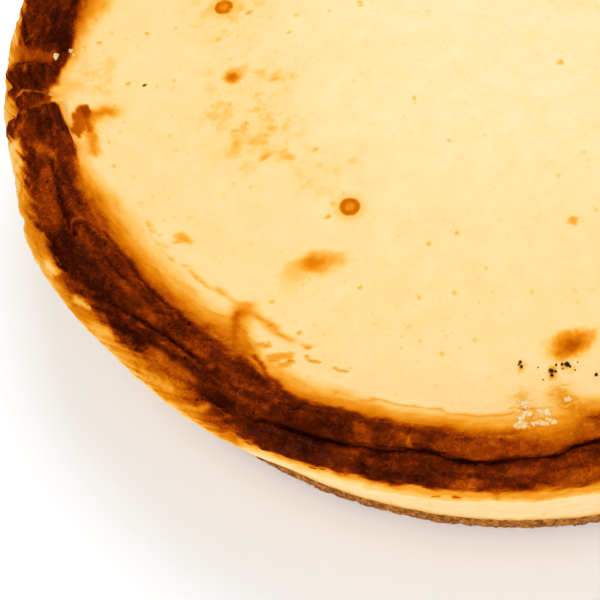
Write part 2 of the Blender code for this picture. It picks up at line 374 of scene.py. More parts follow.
    def unseen_features(self) -> tuple[tuple[Crease, ...], tuple[Fold, ...], tuple[Shelf, ...]]:
        """Creases, folds and shelves for the rim that the photographed side continues into."""
        draw = random.Random(self.unseen_seed)
        span = self.unseen_end - self.unseen_start
        creases, folds, shelves = 17, 15, 5
        made_creases = tuple(
            Crease(
                self.unseen_start + span * (index + draw.uniform(0.15, 0.85)) / creases,
                draw.uniform(-3.0, 3.0),
                draw.uniform(0.0008, 0.0022),
                draw.uniform(0.0012, 0.0022),
                draw.uniform(-0.009, 0.001),
                draw.uniform(0.012, 0.020),
            )
            for index in range(creases)
        )
        made_folds = []
        for index in range(folds):
            start = self.unseen_start + span * (index + draw.uniform(0.0, 0.3)) / folds
            first = draw.uniform(0.010, 0.019)
            end = start + draw.uniform(8.0, 17.0)
            last = first + draw.uniform(-0.003, 0.003)
            depth, half_width = draw.uniform(0.0006, 0.0012), draw.uniform(0.0011, 0.0014)
            path = self.wandering_line(start, end, first, last)
            made_folds.append(Fold(path, depth, half_width, draw.uniform(0.0003, 0.0009)))
        made_shelves = []
        for index in range(shelves):
            start = self.unseen_start + span * (index + draw.uniform(0.2, 0.6)) / shelves
            end = start + draw.uniform(9.0, 18.0)
            edge, drop = draw.uniform(0.018, 0.0215), draw.uniform(0.0010, 0.0017)
            made_shelves.append(Shelf(start, end, edge, drop))
        return made_creases, tuple(made_folds), tuple(made_shelves)

    @staticmethod
    def wandering_line(start: float, end: float, first: float, last: float) -> tuple[Pair, ...]:
        """Line between two azimuths and two distances that wanders a little in and out.

        Args:
            start: Azimuth at its start.
            end: Azimuth at its end.
            first: Distance at its start.
            last: Distance at its end.

        Returns:
            Azimuths and distances on the line.
        """
        wander, bends, points = 0.0006, 2.5, 24
        shares = [index / points for index in range(points + 1)]
        waves = [wander * math.sin(math.tau * (bends * share + 0.1 * start)) for share in shares]
        return tuple(
            (start + share * (end - start), first + share * (last - first) + wave)
            for share, wave in zip(shares, waves)
        )

    def small_swellings(self) -> tuple[Lump, ...]:
        """Small swellings and hollows scattered over the rim."""
        draw = random.Random(self.ripple_seed)
        return tuple(
            Lump(
                draw.uniform(0.0, 360.0),
                draw.uniform(-0.006, 0.024),
                draw.uniform(-1.0, 1.0) * self.ripple_height,
                draw.uniform(0.0030, 0.0075),
                draw.uniform(0.0022, 0.0042),
            )
            for _ in range(self.ripples)
        )

    @staticmethod
    def wave(azimuth: Array, waves: Sequence[tuple[int, float, float]]) -> Array:
        """Sum of slow waves at each azimuth."""
        return sum(
            height * np.cos(np.radians(count * (azimuth - peak))) for count, height, peak in waves
        )

    def lip_sway(self, azimuth: Array) -> Array:
        """How far the lip stands out past its mean radius at each azimuth."""
        dents = sum(
            depth * bell(turn_between(azimuth, centre) / half_width)
            for centre, half_width, depth in self.lip_dents
        )
        return self.wave(azimuth, self.lip_waves) - dents

    def section(self, azimuth: Array, distance: Array) -> tuple[Array, Array]:
        """The smooth section without its relief.

        Args:
            azimuth: Azimuth of each point.
            distance: Distance of each point over the skin from the lip.

        Returns:
            Radius and height of each point, and the radius and height of its outward direction.
        """
        knots = np.array([(k.radius, k.height, k.sway, k.lift) for k in self.knots]).T
        last = len(self.distances) - 1
        span = np.clip(np.searchsorted(self.distances, distance, side="right") - 1, 0, last - 1)
        length = self.distances[span + 1] - self.distances[span]
        share = np.clip((distance - self.distances[span]) / length, 0.0, 1.0)
        moved = np.stack((self.lip_sway(azimuth), self.wave(azimuth, self.crest_waves)))

        def place(index: Array) -> Array:
            """Where knots are at their azimuths."""
            return knots[:2, index] + moved * knots[2:, index]

        def slope(index: Array) -> Array:
            """Direction of the section at knots, per metre of skin."""
            before, after = np.maximum(index - 1, 0), np.minimum(index + 1, last)
            return (place(after) - place(before)) / (self.distances[after] - self.distances[before])

        start, end = place(span), place(span + 1)
        leave, arrive = slope(span) * length, slope(span + 1) * length
        point = (
            start * (2 * share**3 - 3 * share**2 + 1)
            + leave * (share**3 - 2 * share**2 + share)
            + end * (3 * share**2 - 2 * share**3)
            + arrive * (share**3 - share**2)
        )
        along = (
            (start - end) * (6 * share**2 - 6 * share)
            + leave * (3 * share**2 - 4 * share + 1)
            + arrive * (3 * share**2 - 2 * share)
        )
        along /= np.hypot(along[0], along[1])
        return point, np.stack((along[1], -along[0]))

    def relief(self, azimuth: Array, distance: Array) -> tuple[Array, Array]:
        """Height of the creases, folds, shelves and lumps.

        Args:
            azimuth: Azimuth of each point.
            distance: Distance of each point over the skin from the lip.

        Returns:
            Height of each point over the smooth section, and how far the skin leans out over it.
        """
        relief = np.zeros_like(distance)
        shift = np.zeros_like(distance)
        for crease in self.creases:
            centre = crease.azimuth + crease.lean * distance / self.distances[self.crest_knot]
            offset = np.radians(turn_between(azimuth, 0.0) - turn_between(centre, 0.0))
            offset = (offset + math.pi) % math.tau - math.pi
            along = window(distance, crease.outer, crease.inner, 0.006)
            relief -= crease.depth * along * bell(offset * self.crest_radius / crease.half_width)
        for fold in self.folds:
            path = np.array(fold.path)
            middle = 0.5 * (path[0, 0] + path[-1, 0])
            turn = turn_between(azimuth, middle) / (0.5 * (path[-1, 0] - path[0, 0]))
            centre = np.interp(middle + turn_between(azimuth, middle), path[:, 0], path[:, 1])
            across = (distance - centre) / fold.half_width
            strength = window(0.5 * (turn + 1.0), 0.0, 1.0, 0.3)
            relief += strength * fold.depth * (0.5 * bell((across - 2.2) / 1.3) - bell(across))
            shift += strength * fold.overhang * bell((across - 1.1) / 0.9)
        for shelf in self.shelves:
            middle = 0.5 * (shelf.start + shelf.end)
            turn = turn_between(azimuth, middle) / (0.5 * (shelf.end - shelf.start))
            strength = window(turn, -1.0, 1.0, 0.5)
            rise = eased(2.0 * distance / shelf.edge - 1.0)
            relief += strength * shelf.drop * rise * eased((shelf.edge - distance) / 0.0022 + 0.5)
        for lump in self.lumps:
            over = (distance - lump.distance) / lump.over_size
            offset = np.radians(turn_between(azimuth, lump.azimuth)) * self.crest_radius
            relief += lump.height * bell(over) * bell(offset / lump.round_size)
        return relief, shift

    def skin(self, azimuth: Array, distance: Array, proud: Array | float) -> Array:
        """Places of the custard's skin, from its foot to the middle of the top.

        Args:
            azimuth: Azimuth of each point.
            distance: Distance of each point over the skin from the lip. Past the section's last knot it
                goes on over the flat top to its centre.
            proud: How far each point stands off the skin that the cake's large forms give.

        Returns:
            One point a row.
        """
        edge = self.distances[-1]
        relief, shift = self.relief(azimuth, distance)
        point, outward = self.section(azimuth, np.minimum(distance - shift, edge))
        share = np.clip(1.0 - (distance - edge) / self.top_radius, 0.0, 1.0)
        on_top = distance > edge
        dish = self.centre_height + (self.top_height - self.centre_height) * share**2
        dish += self.wave(azimuth, self.top_waves) * 4.0 * share * (1.0 - share)
        radius = np.where(on_top, self.top_radius * share, point[0] + outward[0] * (relief + proud))
        height = np.where(on_top, dish + proud, point[1] + outward[1] * (relief + proud))
        angle = np.radians(azimuth)
        return np.stack((radius * np.cos(angle), radius * np.sin(angle), height), axis=-1)

    def unrolled(self, azimuth: Array, distance: Array, along: float, across: float) -> Array:
        """Places on the unrolled skin at which noise is read, so that it meets itself round the cake.

        Args:
            azimuth: Azimuth of each point.
            distance: Distance of each point over the skin from the lip.
            along: Size of the noise round the cake.
            across: Size of the noise over the rim.

        Returns:
            One point a row, in sizes of the noise.
        """
        angle = np.radians(azimuth)
        ring = self.crest_radius / along
        return np.stack((ring * np.cos(angle), ring * np.sin(angle), distance / across), axis=-1)


@dataclass(frozen=True)
class SkinNoise:
    """Noise over the unrolled skin.

    along and across are its sizes round the cake and over the rim. turn and shift read it at another
    place, and slant turns it further with each metre of skin.
    """

    seed: int
    along: float
    across: float
    layers: int = 1
    turn: float = 0.0
    shift: float = 0.0
    slant: float = 0.0

    def read(self, shape: CakeShape, azimuth: Array, distance: Array) -> Array:
        """The noise on the skin.

        Args:
            shape: The cake's form.
            azimuth: Azimuth of each point.
            distance: Distance of each point over the skin from the lip.

        Returns:
            One value for each point, about -1 to 1.
        """
        turned = azimuth + self.turn - self.slant * distance
        places = shape.unrolled(turned, distance + self.shift, self.along, self.across)
        return GradientNoise(self.seed).layered(places, self.layers)


@dataclass(frozen=True)
class SkinPoints:
    """Points of the skin, and the patterns that the browning follows there.

    moved_azimuth and moved are where they are once sway and weave have shifted them a little, so that
    edges come out uneven. front is 1 at the front, where the streaks to the lip are faint.
    """

    distance: Array
    moved_azimuth: Array
    moved: Array
    sway: Array
    weave: Array
    streaks: Array
    slanted: Array
    front: Array


@dataclass(frozen=True)
class Browning:
    """What the oven did to the skin: how brown, how wrinkled and how glossy it is at each place.

    Brownness runs from 0, pale custard, over gold at 0.3 and orange at 0.5 to 1, burnt. Some strokes
    put painted shade and painted highlights into it by folds and creases.
    """

    shape: CakeShape
    seed: int = 11
    pale_side: float = 0.07
    pale_edge: float = 0.112
    pale_middle: float = 0.045
    foot_tone: float = 0.16
    foot_height: float = 0.0030
    sway: SkinNoise = SkinNoise(11, 0.0052, 0.0030, 3)
    other_sway: SkinNoise = SkinNoise(11, 0.0052, 0.0030, 3, turn=77.0, shift=0.031)
    slow: SkinNoise = SkinNoise(11, 0.030, 0.022)
    weave: SkinNoise = SkinNoise(12, 0.0022, 0.0011, 2)
    streaks: SkinNoise = SkinNoise(12, 0.0085, 0.0017, 3, turn=40.0)
    slanted: SkinNoise = SkinNoise(12, 0.0021, 0.0065, 3, slant=1030.0)
    side_cast: SkinNoise = SkinNoise(12, 0.0036, 0.0015, 2)
    front_start: float = 227.0
    front_end: float = 268.0
    quick_fade: float = 0.0045
    edge_reach: float = 0.0011
    stations: tuple[Station, ...] = rows_of(
        Station,
        (150, 7.2, 4, 0.50, 0.86, 0.90, 23, 0.68, 9.5),
        (156, 7.2, 3.5, 0.46, 0.84, 0.92, 23.2, 0.68, 9.5),
        (159, 8.2, 3.5, 0.46, 0.86, 0.92, 22.8, 0.62, 7.5),
        (162, 8.6, 3.5, 0.46, 0.90, 0.94, 23.2, 0.46, 5),
        (165, 9, 3.5, 0.48, 0.92, 0.97, 23.2, 0.38, 4.2),
        (166.6, 8, 3, 0.48, 0.76, 0.86, 22.8, 0.40, 4.2),
        (167.8, 7.2, 2.4, 0.50, 0.84, 0.90, 21.6, 0.42, 4.2),
        (170, 6, 1.8, 0.45, 0.92, 0.98, 20, 0.38, 4.2),
        (171.6, 6.2, 2.5, 0.42, 0.90, 0.92, 19.6, 0.44, 5),
        (172.7, 8, 3, 0.40, 0.88, 0.86, 16.6, 0.32, 4.2),
        (173.8, 8, 3, 0.44, 0.88, 0.92, 18.4, 0.32, 4),
        (174.6, 6, 3, 0.50, 0.84, 0.84, 18, 0.32, 4),
        (175.5, 3.2, 1.6, 0.50, 0.84, 0.92, 19.6, 0.34, 3),
        (177.4, 5.2, 2.2, 0.34, 0.84, 0.92, 20.2, 0.32, 3),
        (178.8, 9, 2.5, 0.32, 0.90, 0.93, 20.9, 0.34, 3),
        (182, 9.2, 3.5, 0.38, 0.88, 0.82, 22.4, 0.40, 3.5),
        (185, 8.6, 3.5, 0.44, 0.90, 0.80, 21.1, 0.50, 5),
        (188, 8.4, 3.5, 0.54, 0.84, 0.88, 19.5, 0.72, 9),
        (191, 7.8, 3.2, 0.52, 0.80, 0.90, 20.2, 0.80, 10.5),
        (195, 7.4, 2, 0.50, 0.97, 0.80, 20.2, 0.82, 11),
        (200, 6, 5, 0.54, 0.98, 0.86, 19.4, 0.82, 11.5),
        (205, 7.1, 4.4, 0.52, 0.94, 0.80, 19.4, 0.80, 12),
        (210, 6.4, 3.6, 0.47, 0.94, 0.84, 19.8, 0.80, 10.5),
        (214, 7.4, 4, 0.58, 0.90, 0.82, 19.4, 0.82, 11.5),
        (218, 7.6, 4, 0.60, 0.90, 0.82, 20, 0.82, 11),
        (221, 6, 3.4, 0.64, 0.92, 0.86, 20.6, 0.78, 7.5),
        (224, 3.9, 3.6, 0.64, 0.92, 0.86, 18.2, 0.66, 6),
        (226.6, 3, 1.6, 0.20, 0.92, 0.86, 17.4, 0.56, 8),
        (229.2, 3.6, 1.6, 0.22, 0.92, 0.88, 17.2, 0.58, 8),
        (232, 2.9, 1.6, 0.28, 0.94, 0.90, 17, 0.60, 8),
        (238, 3.7, 1.6, 0.28, 0.90, 0.84, 16.4, 0.62, 7),
        (244, 3.4, 2, 0.30, 0.92, 0.84, 16, 0.60, 6.5),
        (250, 3.3, 2.4, 0.34, 0.86, 0.74, 14.6, 0.68, 8),
        (255, 3.4, 2.6, 0.38, 0.84, 0.72, 13, 0.60, 12.5),
        (260, 3.6, 2.6, 0.36, 0.86, 0.80, 16.2, 0.78, 11),
        (268, 2.2, 1.2, 0.30, 0.90, 0.82, 15, 0.55, 7),
    )
    strokes: tuple[Stroke, ...] = rows_of(
        Stroke,
        # gap between the first two swellings, with painted red glints at its burnt edge and by the next
        # crease
        (((165.4, 9), (166.4, 12), (167.6, 17.5)), 1.4, 0.66, 0.9, 0.2),
        (((165.4, 7.4), (167.2, 7.6)), 1.4, 0.58, 0.8),
        # painted red glint on the first swelling's shaded underside
        (((163.6, 12.4), (164.6, 11.2)), 0.5, 0.7, 0.7),
        (((168.6, 11), (169.4, 11.8)), 0.4, 0.62, 0.6),
        # golden notch after the second swelling, and the creases round the third
        (((173.6, 8), (172.6, 12), (172.4, 17)), 0.7, 0.46, 0.85, 0.4),
        (((171.4, 24), (172.6, 21.6), (173.4, 19.4)), 2, 0.3, 0.7),
        (((175.3, 11), (174.9, 14), (174.6, 17.5)), 0.5, 0.58, 0.8, 0.5),
        (((176.5, 12), (178, 8)), 0.6, 0.6, 0.8, 0.3),
        # paler places on the large flap and below it
        (((181, 13.2), (182, 15), (183.2, 16.8)), 1.1, 0.64, 0.8),
        (((178, 12.8), (180.5, 11.6)), 1.3, 0.78, 0.6),
        (((185, 13.5), (188, 12), (191.5, 11.5)), 1.5, 0.72, 0.6),
        (((188.5, 14), (192.5, 13)), 1, 0.7, 0.6),
        (((178.6, 4.5), (179.2, 7.5)), 1.5, 0.15, 0.9),
        (((181.8, 5), (182.2, 7.2)), 1.2, 0.18, 0.9),
        (((182.5, 9.5), (185.5, 6)), 0.7, 0.6, 0.6),
        (((186, 10.5), (188.5, 6.5)), 0.8, 0.56, 0.5),
        # torn golden flake, the pale custard beside it and the burnt hollow inside it, darkened further
        # by painted shadow under the flake
        (((185.5, 5.6), (190, 4.6), (195.5, 3.4)), 2, 0.42, 0.6),
        (((197.5, 3.4), (204, 2.2)), 1.3, 0.46, 0.5),
        (((190.8, 7.4), (192.5, 8), (194, 7.4), (195.4, 6.8)), 1.6, 0.48, 0.85, -0.35, 0, 0, True),
        (((191, 5.6), (194, 5.4)), 1.1, 0.4, 0.7, -0.2),
        (((196, 5.8), (197.6, 6.5)), 1.4, 0.14, 0.95, 0.1),
        (((201.6, 5.8), (203.4, 7)), 1, 0.22, 0.9),
        # burnt hollow, darkened further by painted shadow under the flake's inner side
        (((193.5, 10.2), (195.8, 9.4), (197, 8.6), (199, 9.2)), 1.1, 1, 0.95, 0.7),
        (((197, 12.4), (200.5, 12.2), (204, 12.6)), 2.6, 1, 0.7, 0, 0.1),
        # streaks that run out to the lip
        (((197.6, 5.6), (199.5, 7.4), (203, 10)), 0.9, 0.72, 0.7, -0.15),
        (((201.5, 3.4), (204.2, 5.2)), 0.8, 0.56, 0.7),
        (((205.5, 3), (207.5, 5.5)), 1.3, 0.26, 0.8),
        (((207.8, 6.6), (210, 8.6)), 0.8, 0.82, 0.8),
        (((208, 2.5), (211, 5.5)), 0.9, 0.46, 0.6),
        (((212.5, 9.4), (216, 10), (219, 10.2)), 1.3, 0.6, 0.8, -0.2),
        (((212, 6.6), (215.5, 7.4), (218.5, 6.8)), 1.7, 0.54, 0.75),
        (((213, 4.6), (217, 5.4)), 1.2, 0.34, 0.8),
        (((215, 2), (219, 3.4)), 0.9, 0.54, 0.6),
        (((220.2, 5), (221, 6.2)), 0.8, 0.36, 0.8),
        (((222, 4.4), (225, 5)), 2.2, 0.66, 0.7),
        (((220.4, 8.8), (222.6, 9)), 1.2, 0.98, 0.9, 0.4),
        (((221.2, 7), (222.3, 7.6), (223.5, 7.2)), 0.35, 0.7, 0.8),
        # cracks in the brown skin: burnt dark lines, darkened further by painted shade in their creases
        (((183, 18.6), (186.5, 18.2), (188.5, 18.6), (190.5, 19.6)), 0.45, 0.9, 0.7, 0.4),
        (((184, 16.2), (187, 16.4), (190.5, 15.8), (194.8, 15.2)), 0.5, 1, 0.9, 0.6),
        # the knob: a painted highlight on its left side, then its dark crescent hollow
        (((193.4, 17.8), (193, 16.6), (193.8, 15.4)), 0.4, 0.62, 0.7, -0.5),
        (((194, 17.4), (193.7, 16.4), (194.5, 15.4)), 0.4, 1, 0.9, 0.9),
        (((195, 18.4), (200.5, 17.8), (206, 18), (210, 17.2)), 0.5, 0.96, 0.7, 0.3),
        (((196, 21), (199.5, 21.4), (202.5, 21.4), (204.5, 20.6), (208, 20.2), (212, 20.4)),
         0.55, 0.94, 0.8, 0.4),
        (((190, 20.6), (194, 21)), 0.4, 0.8, 0.6, 0.3),
        (((203.6, 11.4), (206.5, 12), (208.7, 12.9), (211, 14), (213.8, 14.9), (217, 14.6)),
         0.6, 1, 0.85, 0.5),
        (((209.4, 12.7), (210.2, 12.5)), 0.4, 0.62, 0.7),
        (((196, 13.4), (200, 14), (204, 14.2), (207, 13.6)), 0.5, 0.98, 0.6, 0.3),
        (((206, 9.6), (211, 10.6), (216, 12.2), (220, 13.2)), 0.5, 0.98, 0.6, 0.3),
        (((224, 13.6), (229, 13), (234, 13.4), (240, 13.2)), 0.5, 0.98, 0.5, 0.2),
        (((211, 18.2), (215, 18)), 0.6, 0.95, 0.7, 0.3),
        (((216.5, 19.4), (219, 17.8), (223, 17)), 0.6, 0.92, 0.5, 0.2),
        (((220.5, 12.4), (224, 12), (227, 12.6)), 0.45, 0.74, 0.6, -0.2),
        (((205, 17), (210, 15.8)), 1.4, 0.76, 0.5),
        (((222, 22.5), (223.3, 21.7), (225.2, 19), (228.4, 16.8), (230, 15.8), (232.3, 16.6),
          (234, 17.7), (235.7, 17), (238.5, 16.2)), 0.5, 0.9, 0.7, 0.3),
        (((236.2, 14.5), (238, 12.6)), 0.9, 0.68, 0.7),
        (((241.4, 13.3), (241.6, 12.9)), 0.3, 0.44, 0.7, -0.2),
        # burnt stretch with a grey shine, and the less burnt skin below it
        (((226, 5.4), (234, 5.4)), 1.6, 0.8, 0.6),
        (((226.5, 7.5), (229.5, 7.6), (233, 7.2)), 2.8, 1, 0.55, 0, 0.25),
        (((228.4, 10.4), (231.4, 10.5)), 0.7, 1, 1, 0.4),
        # orange places above and below the main fold
        (((244.5, 13.6), (247.5, 12.4), (249.2, 12)), 1.2, 0.7, 0.7),
        (((246, 4.6), (247.8, 4.6)), 1.1, 0.62, 0.7),
        (((251.5, 7), (253.5, 7.8)), 1.3, 0.68, 0.7),
        (((255.5, 5), (259, 5.6)), 1.7, 0.64, 0.8),
        (((248.5, 7.6), (250.5, 8)), 1.2, 0.92, 0.6),
        # main fold: painted shade below it, and its dark line, painted shadow under the overhanging
        # inner ridge
        (((238, 9.9), (240, 10.1), (243.4, 10.9), (245.6, 9.5), (247.7, 8.8), (250, 9), (252, 9.6),
          (255, 9.4), (256.8, 10.6), (259, 11.3), (263, 11.6)), 1.3, 0.94, 0.6),
        # dark line in the fold: painted shadow under the overhanging inner ridge
        (((226.5, 9.6), (231.4, 10.2), (237, 10.8), (240, 11.1), (243.4, 11.9), (245.6, 10.5),
          (247.7, 9.7), (250, 9.9), (252, 10.7), (255, 10.4), (256.8, 11.8), (259, 12.5), (263, 12.8)),
         0.65, 1, 0.9, 0.5),
        (((250, 10.8), (250.6, 12.2)), 0.7, 0.86, 0.7),
        # golden band and burnt dashes under the rim
        (((229, 2.6), (232, 3), (236, 3.2), (240, 2.8), (243, 2.2), (248, 1.8), (253, 1.6),
          (259, 1.3)), 0.6, 0.4, 0.8),
        (((238, 1), (244, 0.6), (252, 0.2), (260, 0)), 0.4, 0.3, 0.6),
        (((232.6, 2.4), (233.2, 2.4)), 0.25, 1),
        (((233.7, 2.4), (234.3, 2.4)), 0.25, 1),
        (((244.3, 1.3), (244.9, 1.3)), 0.22, 0.9),
        (((246, 1.2), (246.8, 1.1)), 0.22, 0.9),
        (((249.4, 1.2), (249.7, 1.2)), 0.22, 0.95),
        # tongue and blotches on the way to the pale top
        (((220, 21.6), (218.2, 25), (217.2, 28.5), (216.2, 32.4)), 2.6, 0.52, 0.9, -0.3),
        (((219.4, 22), (217.6, 26), (216.2, 30.8)), 0.8, 0.66, 0.75),
        (((221, 23.4), (218.8, 27.4)), 0.7, 0.58, 0.6),
        (((214, 25), (215.4, 27.4)), 1, 0.36, 0.7),
        (((207.9, 27), (209.8, 28)), 1.3, 0.28, 0.8, 0, 0, 0, True),
        (((213.5, 26), (214.8, 27.4)), 1, 0.37, 0.9, 0, 0, 0, True),
        (((221.3, 25.2), (221.9, 27.2)), 1.1, 0.35, 0.95, 0, 0, 0, True),
        (((223.9, 24.4), (224.9, 26.9)), 1.5, 0.36, 0.95, 0, 0, 0, True),
        (((225.9, 25.6), (225.3, 23.2)), 1, 0.36, 0.9, 0, 0, 0, True),
        (((227, 29.2), (227.8, 28.2), (228.8, 29)), 0.55, 0.36, 0.95, 0, 0, 0, True),
        (((230.8, 28.8), (231.5, 28.2), (232.3, 28.6)), 0.5, 0.34, 0.9, 0, 0, 0, True),
        # brown patches by the large flap
        (((176.4, 28), (175.6, 32.6)), 2.5, 0.46, 0.85),
        (((176.2, 28), (175.7, 31.6)), 1.2, 0.54, 0.7),
        (((175.8, 25.8), (178.4, 24.6), (178.8, 23.8)), 2.2, 0.7, 0.9, 0, 0, 0, True),
        (((177, 27.2), (182.8, 26.8)), 1.5, 0.52, 0.8),
        (((174.9, 26.4), (176.4, 26.6)), 1, 0.8, 0.8, 0, 0, 0, True),
        (((176.4, 26.8), (179, 27)), 0.8, 0.72, 0.7),
        (((171.3, 30), (172, 33)), 1.4, 0.22, 0.6),
        (((169, 27.6), (168.6, 29.4)), 1, 0.26, 0.6, 0, 0, 0, True),
        (((165.5, 33.4), (170, 33)), 0.9, 0.24, 0.6, 0, 0, 0, True),
        # curdled custard beside the rim
        (((165.8, 27), (169.5, 25.6), (171.4, 27), (169, 31), (165, 31)), 3, 0.15, 0.4, 0, 0, 0.13),
        (((252.4, 27.5), (253, 21.5), (253.4, 17)), 2.8, 0.24, 0.4, 0, 0, 0.34),
        (((256.6, 27), (257.5, 23), (258.5, 19.5), (260, 17)), 2.8, 0.44, 0.7, 0, 0, 0.32),
        (((259, 17.5), (261, 16.5)), 1.1, 0.74, 0.8),
        # golden hair lines where the skin creased as it sank
        (((196.5, 31.4), (203.5, 30.6), (206, 32), (209, 31.2), (213, 33.2), (216, 33.2)),
         0.45, 0.36, 0.85, 0.15),
        (((188, 33.8), (192, 33.4), (197, 31.6)), 0.3, 0.22, 0.7, 0.1),
        (((216.5, 33.4), (219, 33)), 0.6, 0.34, 0.8, 0.1),
        (((216.6, 33.6), (220.5, 33), (222.5, 32.2)), 0.6, 0.46, 0.85, 0.1),
        (((219.5, 32.6), (222.5, 31.6), (224, 31.4)), 1.1, 0.34, 0.8),
        (((220.5, 32.9), (222.5, 32.1), (226.5, 32.1)), 0.5, 0.52, 0.85, 0.15),
        (((236.5, 22.4), (242.6, 22.5), (245, 20.9), (247.7, 20.6), (250.3, 21), (251.8, 22.2)),
         0.4, 0.38, 0.85, 0.15),
        (((235.4, 21.3), (236.8, 21.4)), 0.5, 0.42, 0.7),
        (((230, 20), (234, 19.4), (237.5, 19.9)), 0.35, 0.4, 0.5),
        (((251, 23.5), (256, 23.2), (260, 21.5)), 0.35, 0.34, 0.7, 0.1),
        (((200.7, 35.8), (202.8, 36.6)), 0.9, 0.34, 0.95, 0, 0, 0, True),
        (((201, 36.4), (201.4, 34.8)), 0.6, 0.34, 0.9, 0, 0, 0, True),
        # scorched custard round the burnt crumbs
        (((252.5, 36.8), (252.7, 35.6)), 0.6, 0.42, 0.6),
        (((256.2, 34.5), (256.3, 32.6)), 0.8, 0.5, 0.7),
        (((257.5, 35.6), (258.3, 35)), 0.7, 0.44, 0.6),
    )

    def all_stations(self) -> list[Station]:
        """The stations of the photographed side and those of the rim that it continues into."""
        draw = random.Random(self.seed)
        unseen = []
        azimuth = self.shape.unseen_start + 5.0
        while azimuth < self.shape.unseen_end + 2.0:
            crisp = draw.random() < 0.3
            thin = draw.random() < 0.4
            unseen.append(
                Station(
                    azimuth % 360.0,
                    draw.uniform(1.5, 4.0) if thin else draw.uniform(5.0, 9.0),
                    draw.uniform(1.0, 1.6) if thin else draw.uniform(2.0, 4.0),
                    draw.uniform(0.26, 0.46),
                    draw.uniform(0.84, 0.97),
                    draw.uniform(0.72, 0.94),
                    draw.uniform(15.5, 22.0),
                    draw.uniform(0.36, 0.45) if crisp else draw.uniform(0.50, 0.68),
                    draw.uniform(3.0, 4.0) if crisp else draw.uniform(5.0, 9.0),
                )
            )
            azimuth += draw.uniform(3.0, 7.0)
        return sorted(unseen + list(self.stations), key=lambda station: station.azimuth)

    def strength(self, stroke: Stroke, at: SkinPoints) -> tuple[Array, Array]:
        """How strongly a stroke is felt.

        Args:
            stroke: The stroke.
            at: The points.

        Returns:
            Which points are near the stroke, and how strongly each of those feels it, from 0 to 1.
        """
        path = np.array(stroke.path)
        scale = math.radians(1.0) * self.shape.crest_radius
        line = np.stack((path[:, 0] * scale, path[:, 1] * MM), axis=-1)
        reach = 3.0 * stroke.half_width * MM
        place = np.stack((at.moved_azimuth * scale, at.moved), axis=-1)
        low, high = line.min(axis=0) - reach, line.max(axis=0) + reach
        near = np.nonzero(np.all((place > low) & (place < high), axis=1))[0]
        gap = np.full(len(near), np.inf)
        for start, end in zip(line, line[1:]):
            step = end - start
            share = np.clip((place[near] - start) @ step / (step @ step), 0.0, 1.0)
            gap = np.minimum(gap, np.linalg.norm(place[near] - start - share[:, None] * step, axis=1))
        gap /= stroke.half_width * MM
        if stroke.crisp:
            return near, 1.0 - eased((gap + 0.35 * at.weave[near] - 0.60) / 0.70)
        return near, bell(np.maximum(gap + 0.20 * at.weave[near], 0.0))

    def points(self, azimuth: Array, distance: Array) -> SkinPoints:
        """Reads the patterns of the skin.

        Args:
            azimuth: Azimuth of each point.
            distance: Distance of each point over the skin from the lip.

        Returns:
            The points with what the patterns are there.
        """
        noises = (self.sway, self.other_sway, self.weave, self.streaks, self.slanted)
        sway, other, weave, streaks, slanted = (
            noise.read(self.shape, azimuth, distance) for noise in noises
        )
        moved_azimuth = azimuth + 0.26 * sway + 0.14 * weave
        moved = distance + MM * (0.60 * other + 0.25 * weave)
        front = window(azimuth, self.front_start, self.front_end, 4.0)
        return SkinPoints(distance, moved_azimuth, moved, sway, weave, streaks, slanted, front)

    def oven_tone(self, at: SkinPoints) -> tuple[Array, Array]:
        """How brown the oven made the skin, before it wrinkled.

        Args:
            at: The points.

        Returns:
            Brownness of each point, and the distance of the brown skin's outer edge at its azimuth.
        """
        stations = self.all_stations()
        turns = [station.azimuth for station in stations]

        def along(name: str, scale: float = MM) -> Array:
            """One of the stations' values at each point."""
            values = [getattr(station, name) * scale for station in stations]
            return np.interp(at.moved_azimuth % 360.0, turns, values, period=360.0)

        outer, spread, inner, fade = map(along, ("outer", "outer_fade", "inner", "fade"))
        level, crest = along("level", 1.0), along("crest", 1.0)
        jag = (1.0 - 0.8 * at.front) * np.minimum(0.45 * spread, self.edge_reach) * at.slanted
        ragged = at.moved + jag
        falling = 1.0 - eased((outer - ragged) / np.maximum(2.5 * spread, 2.0 * self.edge_reach))
        outside = self.pale_side + (along("gold", 1.0) - self.pale_side) * falling
        brown = level + (crest - level) * eased((at.moved - 0.5 * (outer + inner)) / (6.0 * MM) + 0.5)
        brown = outside + (brown - outside) * eased((ragged - outer) / spread + 0.5)
        quick = fade < self.quick_fade
        past = at.distance + np.where(quick, 0.35, 1.0) * (at.moved - at.distance) - inner
        inward = eased((at.distance - 0.040) / 0.080)
        top = self.pale_edge + (self.pale_middle - self.pale_edge) * inward
        inside = top + (along("tail", 1.0) - top) * np.clip(1.0 - past / fade, 0.0, 1.0) ** 1.3
        softness = np.where(quick, 1.0 * MM, 2.4 * MM)
        return inside + (brown - inside) * (1.0 - eased(past / softness + 0.5)), outer

    @staticmethod
    def wrinkle(at: SkinPoints, bake: Array, outer: Array) -> Array:
        """Adds the wrinkles' shades to the brown skin, and streaks to the golden skin.

        Args:
            at: The points.
            bake: Brownness of each point, which is changed.
            outer: Distance of the brown skin's outer edge at each point.

        Returns:
            How wrinkled each point is.
        """
        grain = eased((bake - 0.42) / 0.30)
        golden = eased((bake - 0.16) / 0.14) * (1.0 - grain)
        out = 1.0 - eased((at.distance - outer - 0.001) / 0.005)
        out *= 1.0 - at.front
        grown = at.streaks + out * (at.slanted - at.streaks)
        bake += grain * (0.105 * grown + 0.060 * at.weave + 0.045 * at.sway)
        bake += golden * ((0.075 + 0.085 * out) * grown + 0.035 * at.weave)
        return grain

